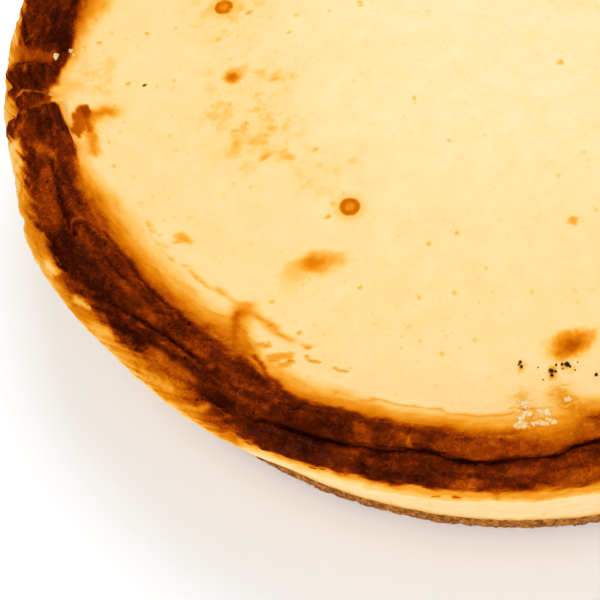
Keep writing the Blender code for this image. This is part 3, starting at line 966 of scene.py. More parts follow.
    def lay_strokes(self, at: SkinPoints, bake: Array) -> tuple[Array, Array, Array]:
        """Lays the strokes over the skin.

        Args:
            at: The points.
            bake: Brownness of each point, which is changed.

        Returns:
            How glossy and how curdled each point is, and how far it lies back.
        """
        sheen, curdled, depth = (np.zeros_like(bake) for _ in range(3))
        for stroke in self.strokes:
            near, share = self.strength(stroke, at)
            weave = at.weave[near]
            bake[near] += (stroke.tone - bake[near]) * stroke.share * share
            depth[near] += stroke.depth * MM * share
            sheen[near] += stroke.gloss * share * eased(0.5 + 1.5 * weave)
            depth[near] -= stroke.rough * MM * share * (1.0 - 2.0 * np.abs(weave))
            curdled[near] += 3.0 * stroke.rough * share
        return sheen, curdled, depth

    def fields(self, azimuth: Array, distance: Array) -> dict[str, Array]:
        """What the skin is like at each point.

        Args:
            azimuth: Azimuth of each point.
            distance: Distance of each point over the skin from the lip.

        Returns:
            bake, how brown it is, with painted shade and highlights by some folds and creases; grain,
            how wrinkled; sheen, how glossy; curdled, how much it is curdled; depth, how far it lies
            back.
        """
        at = self.points(azimuth, distance)
        bake, outer = self.oven_tone(at)
        grain = self.wrinkle(at, bake, outer)
        sheen, curdled, depth = self.lay_strokes(at, bake)
        grain = np.minimum(grain, eased((bake - 0.18) / 0.34))
        slow = self.slow.read(self.shape, azimuth, distance)
        cast = self.side_cast.read(self.shape, azimuth, distance)
        on_side = eased((-distance - 0.004) / 0.004)
        bake += (1.0 - eased(bake / 0.3)) * (0.014 * slow + 0.012 * at.sway + 0.045 * on_side * cast)
        up = distance - self.shape.distances[0] + 0.0006 * at.sway
        bake += self.foot_tone * (1.0 - eased(up / self.foot_height))
        bake, sheen, curdled = (np.clip(values, 0.0, 1.0) for values in (bake, sheen, curdled))
        return {"bake": bake, "grain": grain, "sheen": sheen, "curdled": curdled, "depth": depth}


def start_afresh() -> None:
    """Leaves nothing selected, in object mode."""
    if bpy.context.object and bpy.context.object.mode != "OBJECT":
        bpy.ops.object.mode_set(mode="OBJECT")
    bpy.ops.object.select_all(action="DESELECT")


def vertex_places(piece: bpy.types.Object) -> Array:
    """The places of a piece's vertices, one a row."""
    flat = np.empty(3 * len(piece.data.vertices))
    piece.data.vertices.foreach_get("co", flat)
    return flat.reshape(-1, 3)


def move_vertices(piece: bpy.types.Object, places: Array) -> None:
    """Puts a piece's vertices at the given places."""
    piece.data.vertices.foreach_set("co", places.ravel())
    piece.data.update()


def rolled_sheet(name: str, places: Array, fields: dict[str, Array], closed: bool) -> bpy.types.Object:
    """Adds a flat sheet, rolls it round the cake and joins its meeting edges.

    Args:
        name: Name of the piece.
        places: Where its vertices go: rows over the section, columns round the cake, and x, y, z.
        fields: Values at the vertices that the piece keeps as attributes, in rows and columns.
        closed: Whether the last row meets the first one.

    Returns:
        The piece, whose faces point outwards.
    """
    rows, columns = places.shape[:2]
    bands = rows if closed else rows - 1
    start_afresh()
    bpy.ops.mesh.primitive_grid_add(x_subdivisions=columns, y_subdivisions=bands, size=2.0)
    piece = bpy.context.object
    piece.name = piece.data.name = name
    flat = vertex_places(piece)
    column = np.rint((flat[:, 0] + 1.0) * 0.5 * columns).astype(int) % columns
    row = np.rint((flat[:, 1] + 1.0) * 0.5 * bands).astype(int) % rows
    move_vertices(piece, places[row, column])
    for kind, values in fields.items():
        layer = piece.data.attributes.new(kind, "FLOAT", "POINT")
        layer.data.foreach_set("value", values[row, column].astype(np.float32))
    bpy.ops.object.mode_set(mode="EDIT")
    bpy.ops.mesh.select_all(action="SELECT")
    bpy.ops.mesh.remove_doubles(threshold=1e-7)
    bpy.ops.mesh.normals_make_consistent(inside=False)
    bpy.ops.object.mode_set(mode="OBJECT")
    bpy.ops.object.shade_smooth()
    if piece.data.uv_layers:
        piece.data.uv_layers.remove(piece.data.uv_layers[0])
    return piece


def held_inside(places: Array, *nodes: str) -> Array:
    """The places, moved where needed into the box of the solids that they stand for or lie on."""
    corners = np.array([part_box(node) for node in nodes])
    return np.clip(places, corners[:, 0].min(axis=0), corners[:, 1].max(axis=0))


class Value:
    """A shader value that Python's operators work on. Each adds a Math node."""

    def __init__(self, bench: "Bench", socket: bpy.types.NodeSocket) -> None:
        """Wraps a node's output socket."""
        self.bench = bench
        self.socket = socket

    def _joined(self, operation: str, *values: "Value | float") -> "Value":
        """Result of a Math node, with its values in order."""
        node = self.bench.make("ShaderNodeMath", {"operation": operation}, dict(enumerate(values)))
        return Value(self.bench, node.outputs[0])

    def __add__(self, other: "Value | float") -> "Value":
        """Sum."""
        return self._joined("ADD", self, other)

    __radd__ = __add__

    def __sub__(self, other: "Value | float") -> "Value":
        """Difference."""
        return self._joined("SUBTRACT", self, other)

    def __rsub__(self, other: float) -> "Value":
        """Difference, with the value taken away."""
        return self._joined("SUBTRACT", other, self)

    def __mul__(self, other: "Value | float") -> "Value":
        """Product."""
        return self._joined("MULTIPLY", self, other)

    __rmul__ = __mul__

    def __abs__(self) -> "Value":
        """Size without its sign."""
        return self._joined("ABSOLUTE", self)

    def step(self, start: float, end: float) -> "Value":
        """Eased step from 0 at start to 1 at end.

        Args:
            start: Value at which the step is 0.
            end: Value at which it is 1. It may be the smaller one.

        Returns:
            The step.
        """
        low, high = min(start, end), max(start, end)
        node = self.bench.make(
            "ShaderNodeMapRange",
            {"interpolation_type": "SMOOTHSTEP"},
            {"Value": self, "From Min": low, "From Max": high, "To Min": 0.0, "To Max": 1.0},
        )
        rising = Value(self.bench, node.outputs[0])
        return rising if start < end else 1.0 - rising


class Bench:
    """Work bench for one material: makes its nodes."""

    def __init__(self, name: str) -> None:
        """Starts a material with its Principled shader.

        Args:
            name: Name of the material.
        """
        self.material = bpy.data.materials.new(name)
        self.material.use_nodes = True
        self.tree = self.material.node_tree
        self.shader = self.tree.nodes["Principled BSDF"]

    @staticmethod
    def socket(sockets: Sequence[bpy.types.NodeSocket], key: int | str) -> bpy.types.NodeSocket:
        """A node's socket by its number, its identifier or its name."""
        if isinstance(key, int):
            return sockets[key]
        return next(s for s in sockets if s.identifier == key or (s.name == key and s.enabled))

    def make(
        self,
        kind: str,
        settings: dict[str, Any] | None = None,
        inputs: dict[int | str, Any] | None = None,
    ) -> bpy.types.Node:
        """Adds a node.

        Args:
            kind: The node's type.
            settings: Its properties, and the stops of a ramp.
            inputs: Values and links of its sockets.

        Returns:
            The node.
        """
        node = self.tree.nodes.new(kind)
        for name, value in (settings or {}).items():
            if name == "stops":
                self.set_stops(node.color_ramp, value)
            else:
                setattr(node, name, value)
        self.feed(node, inputs or {})
        return node

    def feed(self, node: bpy.types.Node, inputs: dict[int | str, Any]) -> None:
        """Sets or links a node's input sockets."""
        for key, value in inputs.items():
            socket = self.socket(node.inputs, key)
            if isinstance(value, Value):
                self.tree.links.new(value.socket, socket)
            elif isinstance(value, bpy.types.NodeSocket):
                self.tree.links.new(value, socket)
            else:
                socket.default_value = value

    @staticmethod
    def set_stops(ramp: bpy.types.ColorRamp, stops: Stops) -> None:
        """Gives a ramp its stops."""
        while len(ramp.elements) < len(stops):
            ramp.elements.new(1.0)
        for element, (position, colour) in zip(ramp.elements, stops):
            element.position = position
            element.color = (*colour, 1.0)

    def places(self) -> bpy.types.NodeSocket:
        """The place on the piece, in its own coordinates."""
        return self.make("ShaderNodeTexCoord").outputs["Object"]

    def field(self, name: str) -> Value:
        """One of the piece's attributes."""
        node = self.make("ShaderNodeAttribute", {"attribute_name": name})
        return Value(self, node.outputs["Fac"])

    def noise(
        self,
        places: bpy.types.NodeSocket,
        size: float,
        detail: float = 2.0,
        distortion: float = 0.0,
    ) -> Value:
        """Noise spread about evenly round 0.

        Args:
            places: Where it is read.
            size: Size of its swellings in metres.
            detail: How many finer layers it has.
            distortion: How far it is stirred.

        Returns:
            The noise, mostly between -1 and 1.
        """
        inputs = {"Vector": places, "Scale": 1.0 / size, "Detail": detail, "Distortion": distortion}
        node = self.make("ShaderNodeTexNoise", {"noise_dimensions": "3D"}, inputs)
        return (Value(self, node.outputs[0]) - 0.5) * 4.0

    def cells(self, places: bpy.types.NodeSocket, size: float) -> tuple[Value, Value]:
        """Scattered points.

        Args:
            places: Where they are read.
            size: Mean distance between them in metres.

        Returns:
            Distance to the nearest point in sizes, and a random value that belongs to it.
        """
        node = self.make("ShaderNodeTexVoronoi", None, {"Vector": places, "Scale": 1.0 / size})
        draw = self.make("ShaderNodeSeparateColor", None, {0: node.outputs["Color"]})
        return Value(self, node.outputs["Distance"]), Value(self, draw.outputs[0])

    def stirred(self, places: bpy.types.NodeSocket, size: float, reach: float) -> bpy.types.NodeSocket:
        """The places, each moved a little, so that what is read there has uneven edges.

        Args:
            places: Places to move.
            size: Size of the unevenness.
            reach: How far a place moves at most.

        Returns:
            The moved places.
        """
        inputs = {"Vector": places, "Scale": 1.0 / size, "Detail": 2.0}
        noise = self.make("ShaderNodeTexNoise", {"noise_dimensions": "3D"}, inputs)
        kind, centre, scale = "ShaderNodeVectorMath", (0.5, 0.5, 0.5), (2.0 * reach,) * 3
        off = self.make(kind, {"operation": "SUBTRACT"}, {0: noise.outputs["Color"], 1: centre})
        inputs = {0: off.outputs[0], 1: scale, 2: places}
        return self.make(kind, {"operation": "MULTIPLY_ADD"}, inputs).outputs[0]

    def ramp(self, value: Value, stops: Stops) -> bpy.types.NodeSocket:
        """Colour of a value between stops."""
        return self.make("ShaderNodeValToRGB", {"stops": stops}, {0: value}).outputs[0]

    def bump(self, height: Value, depth: float) -> bpy.types.NodeSocket:
        """Normal that a relief gives, with its height in depths and its depth in metres."""
        inputs = {"Height": height, "Distance": depth, "Strength": 1.0}
        return self.make("ShaderNodeBump", None, inputs).outputs[0]


class MarkKind(Enum):
    """What a mark on the top is like."""

    RING = "a browned ring with a golden halo"
    SMUDGE = "a soft brown smudge"
    MOTTLE = "a stretch with many small golden patches"
    FLECK = "a small spot with a clear edge"


@dataclass(frozen=True)
class Mark:
    """A mark on the flat top. Its radius and size are in millimetres."""

    kind: MarkKind
    azimuth: float
    radius: float
    size: float
    tone: float
    stretch: float = 1.0
    turn: float = 0.0


@dataclass(frozen=True)
class Speck:
    """Small golden specks of the pale skin.

    size is the distance between them, wide and narrow are where one ends and where it is full, rare
    is the share of places without one, and anywhere is how much they leave their crowds.
    """

    size: float
    wide: float
    narrow: float
    rare: float
    anywhere: float
    tone: float


@dataclass(frozen=True)
class CustardFinish:
    """Finish of the custard: pale inside the tin, golden to burnt where the oven reached it."""

    gain: float = 0.87
    stops: Stops = (
        (0.00, (1.00, 0.800, 0.490)),
        (0.06, (1.00, 0.745, 0.375)),
        (0.12, (1.00, 0.687, 0.292)),
        (0.20, (0.991, 0.578, 0.144)),
        (0.27, (0.965, 0.468, 0.070)),
        (0.34, (0.913, 0.371, 0.031)),
        (0.41, (0.855, 0.292, 0.011)),
        (0.48, (0.768, 0.223, 0.003)),
        (0.54, (0.680, 0.168, 0.002)),
        (0.60, (0.578, 0.120, 0.001)),
        (0.66, (0.479, 0.082, 0.001)),
        (0.72, (0.386, 0.053, 0.001)),
        (0.78, (0.275, 0.032, 0.0008)),
        (0.84, (0.171, 0.019, 0.0007)),
        (0.90, (0.107, 0.012, 0.0006)),
        (1.00, (0.040, 0.004, 0.0003)),
    )
    top_height: float = 0.040
    blotch: tuple[float, ...] = (0.0055, 4.0)
    fine: tuple[float, ...] = (0.0010, 3.0)
    wrinkle: tuple[float, ...] = (0.0017, 3.0, 1.4)
    # the curls carry painted highlights, and the lines painted shade, on the wrinkled skin
    highlit_curl: tuple[float, ...] = (0.0021, 1.0, 0.8)
    line: tuple[float, ...] = (0.0030, 1.0, 0.8)
    knot: tuple[float, ...] = (0.0024, 2.0, 1.2)
    crowd: tuple[float, ...] = (0.016, 2.0)
    pore_size: float = 0.0021
    specks: tuple[Speck, ...] = rows_of(
        Speck,
        (0.0040, 0.26, 0.05, 0.50, 0.0, 0.24),
        (0.0019, 0.36, 0.08, 0.45, 0.3, 0.085),
    )
    relief_depth: float = 0.00028
    marks: tuple[Mark, ...] = rows_of(
        Mark,
        (MarkKind.RING, 218, 66.4, 5.6, 0.56),
        (MarkKind.RING, 153.8, 74, 5.6, 0.62),
        (MarkKind.SMUDGE, 172.9, 70.1, 6.2, 0.68, 0.85, 60),
        (MarkKind.SMUDGE, 218, 89, 12, 0.20, 0.6, 60),
        (MarkKind.SMUDGE, 220, 83.5, 16, 0.30, 0.50, 0),
        (MarkKind.SMUDGE, 221.5, 81.5, 9, 0.32, 0.6, 0),
        (MarkKind.SMUDGE, 219.5, 83.3, 10, 0.50, 0.6, 0),
        (MarkKind.SMUDGE, 259.2, 93.9, 13.5, 0.34, 0.6, 8),
        (MarkKind.SMUDGE, 259, 94.1, 11.5, 0.66, 0.6, 8),
        (MarkKind.FLECK, 171.2, 93.2, 1.4, 1),
        (MarkKind.FLECK, 155.1, 66.7, 2.6, 0.34, 0.7),
        (MarkKind.FLECK, 190, 74.8, 4, 0.30, 0.7, 60),
        (MarkKind.FLECK, 187, 73.6, 3.2, 0.27, 0.5),
        (MarkKind.FLECK, 191.5, 71.2, 3.2, 0.26, 0.6),
        (MarkKind.FLECK, 196, 70.5, 5, 0.36, 0.5, 25),
        (MarkKind.FLECK, 199, 66, 5, 0.28, 0.6, -30),
        (MarkKind.FLECK, 197.2, 66.2, 4, 0.22, 0.5, 35),
        (MarkKind.MOTTLE, 181, 68, 44, 0.27, 0.8, 70),
        (MarkKind.MOTTLE, 192, 69, 26, 0.27, 0.8, 20),
        (MarkKind.MOTTLE, 155, 72, 30, 0.26, 0.9, 0),
        (MarkKind.MOTTLE, 207, 62, 26, 0.22, 0.8, 0),
        (MarkKind.FLECK, 186.2, 70.5, 2, 0.30),
        (MarkKind.FLECK, 162.7, 73.7, 2.4, 0.24),
        (MarkKind.FLECK, 176.7, 59.4, 3.4, 0.28, 0.6),
        (MarkKind.FLECK, 264.7, 63, 3.2, 0.33),
        (MarkKind.FLECK, 293.8, 19.9, 2.6, 0.28),
        (MarkKind.FLECK, 216, 71.7, 2, 0.32),
        (MarkKind.FLECK, 241, 64.7, 2, 0.30),
        (MarkKind.FLECK, 236.3, 68.7, 2, 0.27),
        (MarkKind.FLECK, 201.4, 59.5, 2.2, 0.26),
    )

    def colours(self) -> Stops:
        """The ramp's stops as surface colours."""
        return tuple((at, tuple(self.gain * part for part in colour)) for at, colour in self.stops)

    def specked(
        self, bench: Bench, places: bpy.types.NodeSocket, tone: Value, crowd: Value, pale: Value
    ) -> Value:
        """Puts the small golden specks on the pale skin.

        Args:
            bench: Where their nodes are made.
            places: Place on the piece.
            tone: Brownness without them.
            crowd: Noise that is high where they crowd.
            pale: How pale the skin is.

        Returns:
            Brownness with them.
        """
        crowd = crowd.step(-1.0, 0.9)
        for speck in self.specks:
            gap, draw = bench.cells(places, speck.size)
            spot = gap.step(speck.wide, speck.narrow) * draw.step(speck.rare, 1.0)
            share = speck.anywhere + (1.0 - speck.anywhere) * crowd
            tone = tone + spot * share * pale * speck.tone
        return tone

    def marked(self, bench: Bench, places: bpy.types.NodeSocket, tone: Value, mark: Mark) -> Value:
        """Puts a mark on the top.

        Args:
            bench: Where its nodes are made.
            places: Place on the piece.
            tone: Brownness without the mark.
            mark: The mark.

        Returns:
            Brownness with the mark.
        """
        angle = math.radians(mark.azimuth)
        radius = mark.radius * MM
        centre = (radius * math.cos(angle), radius * math.sin(angle), self.top_height)
        half = 0.5 * mark.size * MM
        inputs = {
            "Vector": places,
            "Location": centre,
            "Rotation": (0.0, 0.0, math.radians(mark.turn)),
            "Scale": (half, half * mark.stretch, half),
        }
        local = bench.make("ShaderNodeMapping", {"vector_type": "TEXTURE"}, inputs)
        length = bench.make("ShaderNodeVectorMath", {"operation": "LENGTH"}, {0: local.outputs[0]})
        gap = Value(bench, length.outputs["Value"])
        if mark.kind is MarkKind.RING:
            tone = tone + gap.step(2.1, 0.7) * 0.12
            core = mark.tone - 0.12 + 0.07 * bench.noise(places, 0.0009)
            tone = tone + (core - tone) * gap.step(1.0, 0.72)
            return tone + (mark.tone + 0.02 - tone) * abs(gap - 0.66).step(0.34, 0.08)
        if mark.kind is MarkKind.MOTTLE:
            patches = bench.noise(places, 0.0034, 3.0).step(-0.25, 1.2)
            return tone + (mark.tone - tone) * gap.step(1.15, 0.35) * (0.16 + 0.84 * patches)
        soft, firm = (1.25, 0.0) if mark.kind is MarkKind.SMUDGE else (1.15, 0.25)
        uneven = 0.20 * bench.noise(places, 0.0030, 3.0) if mark.kind is MarkKind.SMUDGE else 0.0
        return tone + (mark.tone - tone) * (gap + uneven).step(soft, firm)

    def material(self, name: str, with_marks: bool) -> bpy.types.Material:
        """Makes the custard's material.

        Args:
            name: Name of the material.
            with_marks: Whether the marks of the flat top are on it.

        Returns:
            The material.
        """
        bench = Bench(name)
        places = bench.places()
        bake, grain, sheen = bench.field("bake"), bench.field("grain"), bench.field("sheen")
        curdled = bench.field("curdled")
        blotch, fine = (bench.noise(places, *kind) for kind in (self.blotch, self.fine))
        tone = bake + blotch * (0.026 + 0.022 * grain) + fine * (0.011 + 0.012 * grain)
        wrinkle = 1.0 - abs(bench.noise(places, *self.wrinkle))
        # painted highlights: the curls stand up in the relief and are made paler
        highlit_curl = abs(bench.noise(places, *self.highlit_curl)).step(0.30, 0.0)
        # painted shade: the lines lie lower in the relief and are made darker
        line = abs(bench.noise(places, *self.line)).step(0.16, 0.0)
        knots = abs(bench.noise(places, *self.knot)).step(0.05, 0.75)
        tone = tone + (line * 0.030 - highlit_curl * 0.080 + 0.020) * grain
        tone = tone + (0.09 - knots * 0.14) * curdled
        uneven = bench.stirred(places, 0.0020, 0.0009)
        tone = self.specked(bench, uneven, tone, bench.noise(places, *self.crowd), 1.0 - grain)
        # painted shade: the pores sink in the relief and are made darker
        gap, draw = bench.cells(places, self.pore_size)
        shaded_pore = gap.step(0.20, 0.08) * draw.step(0.55, 0.65) * grain
        tone = tone + shaded_pore * 0.12
        if with_marks:
            ring_edge = bench.stirred(places, 0.0016, 0.0004)
            for mark in self.marks:
                edge = ring_edge if mark.kind is MarkKind.RING else uneven
                tone = self.marked(bench, edge, tone, mark)
        relief = wrinkle * (0.05 + 0.30 * grain) + (highlit_curl * 0.6 - line * 0.2 - shaded_pore * 1.2) * grain
        relief = relief + knots * curdled * 0.25 + fine * 0.04
        bench.feed(
            bench.shader,
            {
                "Base Color": bench.ramp(tone, self.colours()),
                "Roughness": 0.62,
                "Specular IOR Level": 0.0,
                "Coat Weight": sheen * 0.26 + grain * 0.010,
                "Coat Roughness": 0.26,
                "Normal": bench.bump(relief, self.relief_depth),
            },
        )
        return bench.material


@dataclass(frozen=True)
class BiscuitFinish:
    """Finish of the biscuit: coarse crumbs pressed together, browned by butter."""

    light: tuple[float, float, float] = (0.60, 0.25, 0.060)
    middle: tuple[float, float, float] = (0.36, 0.125, 0.026)
    dark: tuple[float, float, float] = (0.20, 0.058, 0.012)

    def material(self, name: str) -> bpy.types.Material:
        """Makes the biscuit's material.

        Args:
            name: Name of the material.

        Returns:
            The material.
        """
        bench = Bench(name)
        places = bench.places()
        coarse = bench.noise(places, 0.0021, 3.0)
        fine = bench.noise(places, 0.0007, 2.0)
        gap, draw = bench.cells(places, 0.0012)
        tone = coarse * 0.16 + fine * 0.10 + draw * 0.55 + 0.22
        stops = ((0.15, self.dark), (0.50, self.middle), (0.85, self.light))
        relief = fine * 0.4 - gap * 1.2
        bench.feed(
            bench.shader,
            {
                "Base Color": bench.ramp(tone, stops),
                "Roughness": 0.80,
                "Specular IOR Level": 0.0,
                "Normal": bench.bump(relief, 0.0003),
            },
        )
        return bench.material


class CrumbKind(Enum):
    """Kinds of crumb on the cake, each with its two colours."""

    BURNT = ((0.030, 0.010, 0.004), (0.10, 0.025, 0.006))
    CURD = ((0.86, 0.54, 0.20), (0.88, 0.68, 0.38))
    BISCUIT = ((0.26, 0.085, 0.018), (0.58, 0.26, 0.062))

    def material(self, name: str) -> bpy.types.Material:
        """Makes the crumbs' material.

        Args:
            name: Name of the material.

        Returns:
            The material.
        """
        bench = Bench(name)
        places = bench.places()
        _, draw = bench.cells(places, 0.0013)
        tone = draw * 0.8 + bench.noise(places, 0.0005, 2.0) * 0.15
        bench.feed(
            bench.shader,
            {
                "Base Color": bench.ramp(tone, ((0.1, self.value[0]), (0.8, self.value[1]))),
                "Roughness": 0.45 if self is CrumbKind.CURD else 0.75,
                "Specular IOR Level": 0.0,
                "Normal": bench.bump(bench.noise(places, 0.0006, 2.0), 0.0001),
            },
        )
        return bench.material


@dataclass(frozen=True)
class Wrinkles:
    """Wrinkles of the browned skin and small bumps of the pale one."""

    folds: SkinNoise = SkinNoise(31, 0.0050, 0.0026, 2)
    crumples: SkinNoise = SkinNoise(32, 0.0019, 0.0013, 2)
    swells: SkinNoise = SkinNoise(31, 0.0090, 0.0075)
    fold_height: float = 0.00042
    crumple_height: float = 0.00026
    lip_crumple: float = 0.00022
    lip_fold: float = 0.00012
    swell_height: float = 0.00007
    pale_crumple: float = 0.00003

    def relief(self, shape: CakeShape, azimuth: Array, distance: Array, grain: Array) -> Array:
        """Relief that the wrinkles give the skin.

        Args:
            shape: The cake's form.
            azimuth: Azimuth of each point.
            distance: Distance of each point over the skin from the lip.
            grain: How wrinkled the skin is there.

        Returns:
            Height of each point over the large forms.
        """
        noises = (self.folds, self.crumples, self.swells)
        folds, crumples, swells = (noise.read(shape, azimuth, distance) for noise in noises)
        folds = 1.0 - 2.0 * np.abs(folds)
        lip = window(distance, -0.001, 0.012, 0.004)
        ragged = (1.0 - grain) * lip * (self.lip_crumple * crumples + self.lip_fold * folds)
        browned = grain * (self.fold_height * folds + self.crumple_height * crumples)
        return browned + ragged + self.swell_height * swells + self.pale_crumple * crumples


@dataclass
class BrownedRim:
    """Skin of the swollen rim, from just under the lip to where the gold fades on the top."""

    shape: CakeShape
    browning: Browning
    finish: CustardFinish
    wrinkles: Wrinkles = Wrinkles()
    outer: float = -0.0125
    inner: float = 0.0345
    row_step: float = 0.00042
    seen_start: float = 147.0
    seen_end: float = 268.0
    seen_step: float = 0.27
    unseen_step: float = 0.62
    thickness: float = 0.0016
    proud: float = 0.00006
    dive: float = 0.00016
    dive_length: float = 0.005
    under_rows: int = 5

    def columns(self) -> Array:
        """Azimuths of the columns, closer together on the photographed side."""
        seen = np.arange(self.seen_start, self.seen_end, self.seen_step)
        unseen = np.arange(self.seen_end, self.seen_start + 360.0, self.unseen_step)
        return np.concatenate((seen, unseen))

    def outer_face(self) -> Array:
        """Distances of the rows of the face that shows."""
        count = round((self.inner - self.outer) / self.row_step)
        return np.linspace(self.outer, self.inner, count + 1)

    def build(self) -> bpy.types.Object:
        """Makes the rim's skin and dresses it.

        Returns:
            The piece.
        """
        columns, face = self.columns(), self.outer_face()
        back = np.linspace(self.inner, self.outer, self.under_rows + 2)[1:-1]
        distances = np.concatenate((face, back))
        azimuth, distance = (grid.ravel() for grid in np.meshgrid(columns, distances))
        fields = self.browning.fields(azimuth, distance)
        at_edge = np.minimum(distance - self.outer, self.inner - distance) / self.dive_length
        proud = self.proud + (self.dive + self.proud) * (eased(at_edge) - 1.0)
        wrinkles = self.wrinkles.relief(self.shape, azimuth, distance, fields["grain"])
        proud += wrinkles - fields.pop("depth")
        under = np.repeat(np.arange(len(distances)) >= len(face), len(columns))
        proud = np.where(under, -self.thickness, proud)
        places = held_inside(self.shape.skin(azimuth, distance, proud), "cheesecake_body")
        grid = (len(distances), len(columns))
        layers = {name: values.reshape(grid) for name, values in fields.items()}
        piece = rolled_sheet("browned_rim", places.reshape(*grid, 3), layers, closed=True)
        piece.data.materials.append(self.finish.material("browned_custard", with_marks=False))
        return piece


@dataclass
class CustardBody:
    """The custard: its side, which the tin held, and its flat top."""

    shape: CakeShape
    browning: Browning
    finish: CustardFinish
    wrinkles: Wrinkles = Wrinkles()
    upright_marks: SkinNoise = SkinNoise(41, 0.0026, 0.0090, 2)
    pits: SkinNoise = SkinNoise(41, 0.0020, 0.0017)
    columns: int = 720
    foot_rows: int = 4
    side_step: float = 0.0010
    hidden_rows: int = 14
    top_step: float = 0.0013
    hidden_start: float = -0.0095
    hidden_end: float = 0.0290
    hidden_depth: float = 0.0009
    sink_length: float = 0.003
    tin_mark: float = 0.00012

    def distances(self) -> Array:
        """Distances of the rows from the custard's foot to the top's centre."""
        foot = self.shape.distances[0]
        centre = self.shape.distances[-1] + self.shape.top_radius
        side = np.arange(foot, self.hidden_start, self.side_step)
        hidden = np.linspace(self.hidden_start, self.hidden_end, self.hidden_rows + 1)[:-1]
        top_rows = round((centre - self.hidden_end) / self.top_step)
        top = np.linspace(self.hidden_end, centre, top_rows + 1)
        return np.concatenate((side, hidden, top))

    def build(self) -> bpy.types.Object:
        """Makes the custard and dresses it.

        Returns:
            The piece.
        """
        turns = np.arange(self.columns) * 360.0 / self.columns
        distances = self.distances()
        azimuth, distance = (grid.ravel() for grid in np.meshgrid(turns, distances))
        fields = self.browning.fields(azimuth, distance)
        hidden = window(distance, self.hidden_start, self.hidden_end, self.sink_length)
        proud = self.wrinkles.relief(self.shape, azimuth, distance, fields["grain"])
        proud -= fields.pop("depth")
        proud = np.where(distance > self.shape.distances[-1], 0.6, 1.0) * proud
        proud += self.side_relief(azimuth, distance) - hidden * self.hidden_depth
        centre = eased((distances[-1] - distance) / 0.02)
        places = self.shape.skin(azimuth, distance, proud * centre)
        grid = (len(distances), self.columns)
        places = held_inside(places, "cheesecake_body").reshape(*grid, 3)
        foot = places[:1] * np.linspace(0.0, 1.0, self.foot_rows + 1)[:-1, None, None]
        foot[..., 2] = places[0, :, 2].min()
        layers = {
            name: np.concatenate((np.zeros((self.foot_rows, self.columns)), values.reshape(grid)))
            for name, values in fields.items()
        }
        piece = rolled_sheet("custard_body", np.concatenate((foot, places)), layers, closed=False)
        piece.data.materials.append(self.finish.material("baked_custard", with_marks=True))
        return piece

    def side_relief(self, azimuth: Array, distance: Array) -> Array:
        """Shallow marks that the tin and its lining left on the side.

        Args:
            azimuth: Azimuth of each point.
            distance: Distance of each point over the skin from the lip.

        Returns:
            Height of each point.
        """
        upright = self.upright_marks.read(self.shape, azimuth, distance)
        pits = self.pits.read(self.shape, azimuth, distance)
        on_side = eased((-distance - 0.0129) / 0.003)
        return on_side * self.tin_mark * (upright - 1.6 * np.clip(pits - 0.45, 0.0, 1.0))


@dataclass
class BiscuitBase:
    """The biscuit layer under the custard, with a crumbly edge."""

    shape: CakeShape
    finish: BiscuitFinish
    columns: int = 900
    side_rows: int = 13
    flat_rows: int = 3
    grit: SkinNoise = SkinNoise(51, 0.0022, 0.0018, 3)
    roughness: float = 0.00042
    corner: float = 0.0006

    def build(self) -> bpy.types.Object:
        """Makes the biscuit and dresses it.

        Returns:
            The piece.
        """
        azimuth = np.arange(self.columns) * 360.0 / self.columns
        high = self.shape.biscuit_thickness
        rows = [(share, 0.0) for share in np.linspace(0.0, 0.985, self.flat_rows + 1)]
        rows += [(1.0, height) for height in np.linspace(0.0, high, self.side_rows)]
        rows += [(share, high) for share in np.linspace(0.985, 0.0, self.flat_rows + 1)]
        angle = np.radians(azimuth)
        places = []
        for share, height in rows:
            heights = np.full(self.columns, height)
            radius = np.full(self.columns, share * self.shape.tin_radius)
            if share == 1.0:
                edge = max(self.corner - height, self.corner - (high - height), 0.0)
                crumbs = self.grit.read(self.shape, azimuth, heights)
                radius = radius + self.roughness * crumbs - 0.6 * edge
            places.append(np.stack((radius * np.cos(angle), radius * np.sin(angle), heights), -1))
        piece = rolled_sheet("biscuit", held_inside(np.array(places), "biscuit_base"), {}, closed=False)
        piece.data.materials.append(self.finish.material("biscuit"))
        return piece


@dataclass(frozen=True)
class CrumbPlace:
    """Where a crumb lies, and how large it is across."""

    place: Vector
    size: float


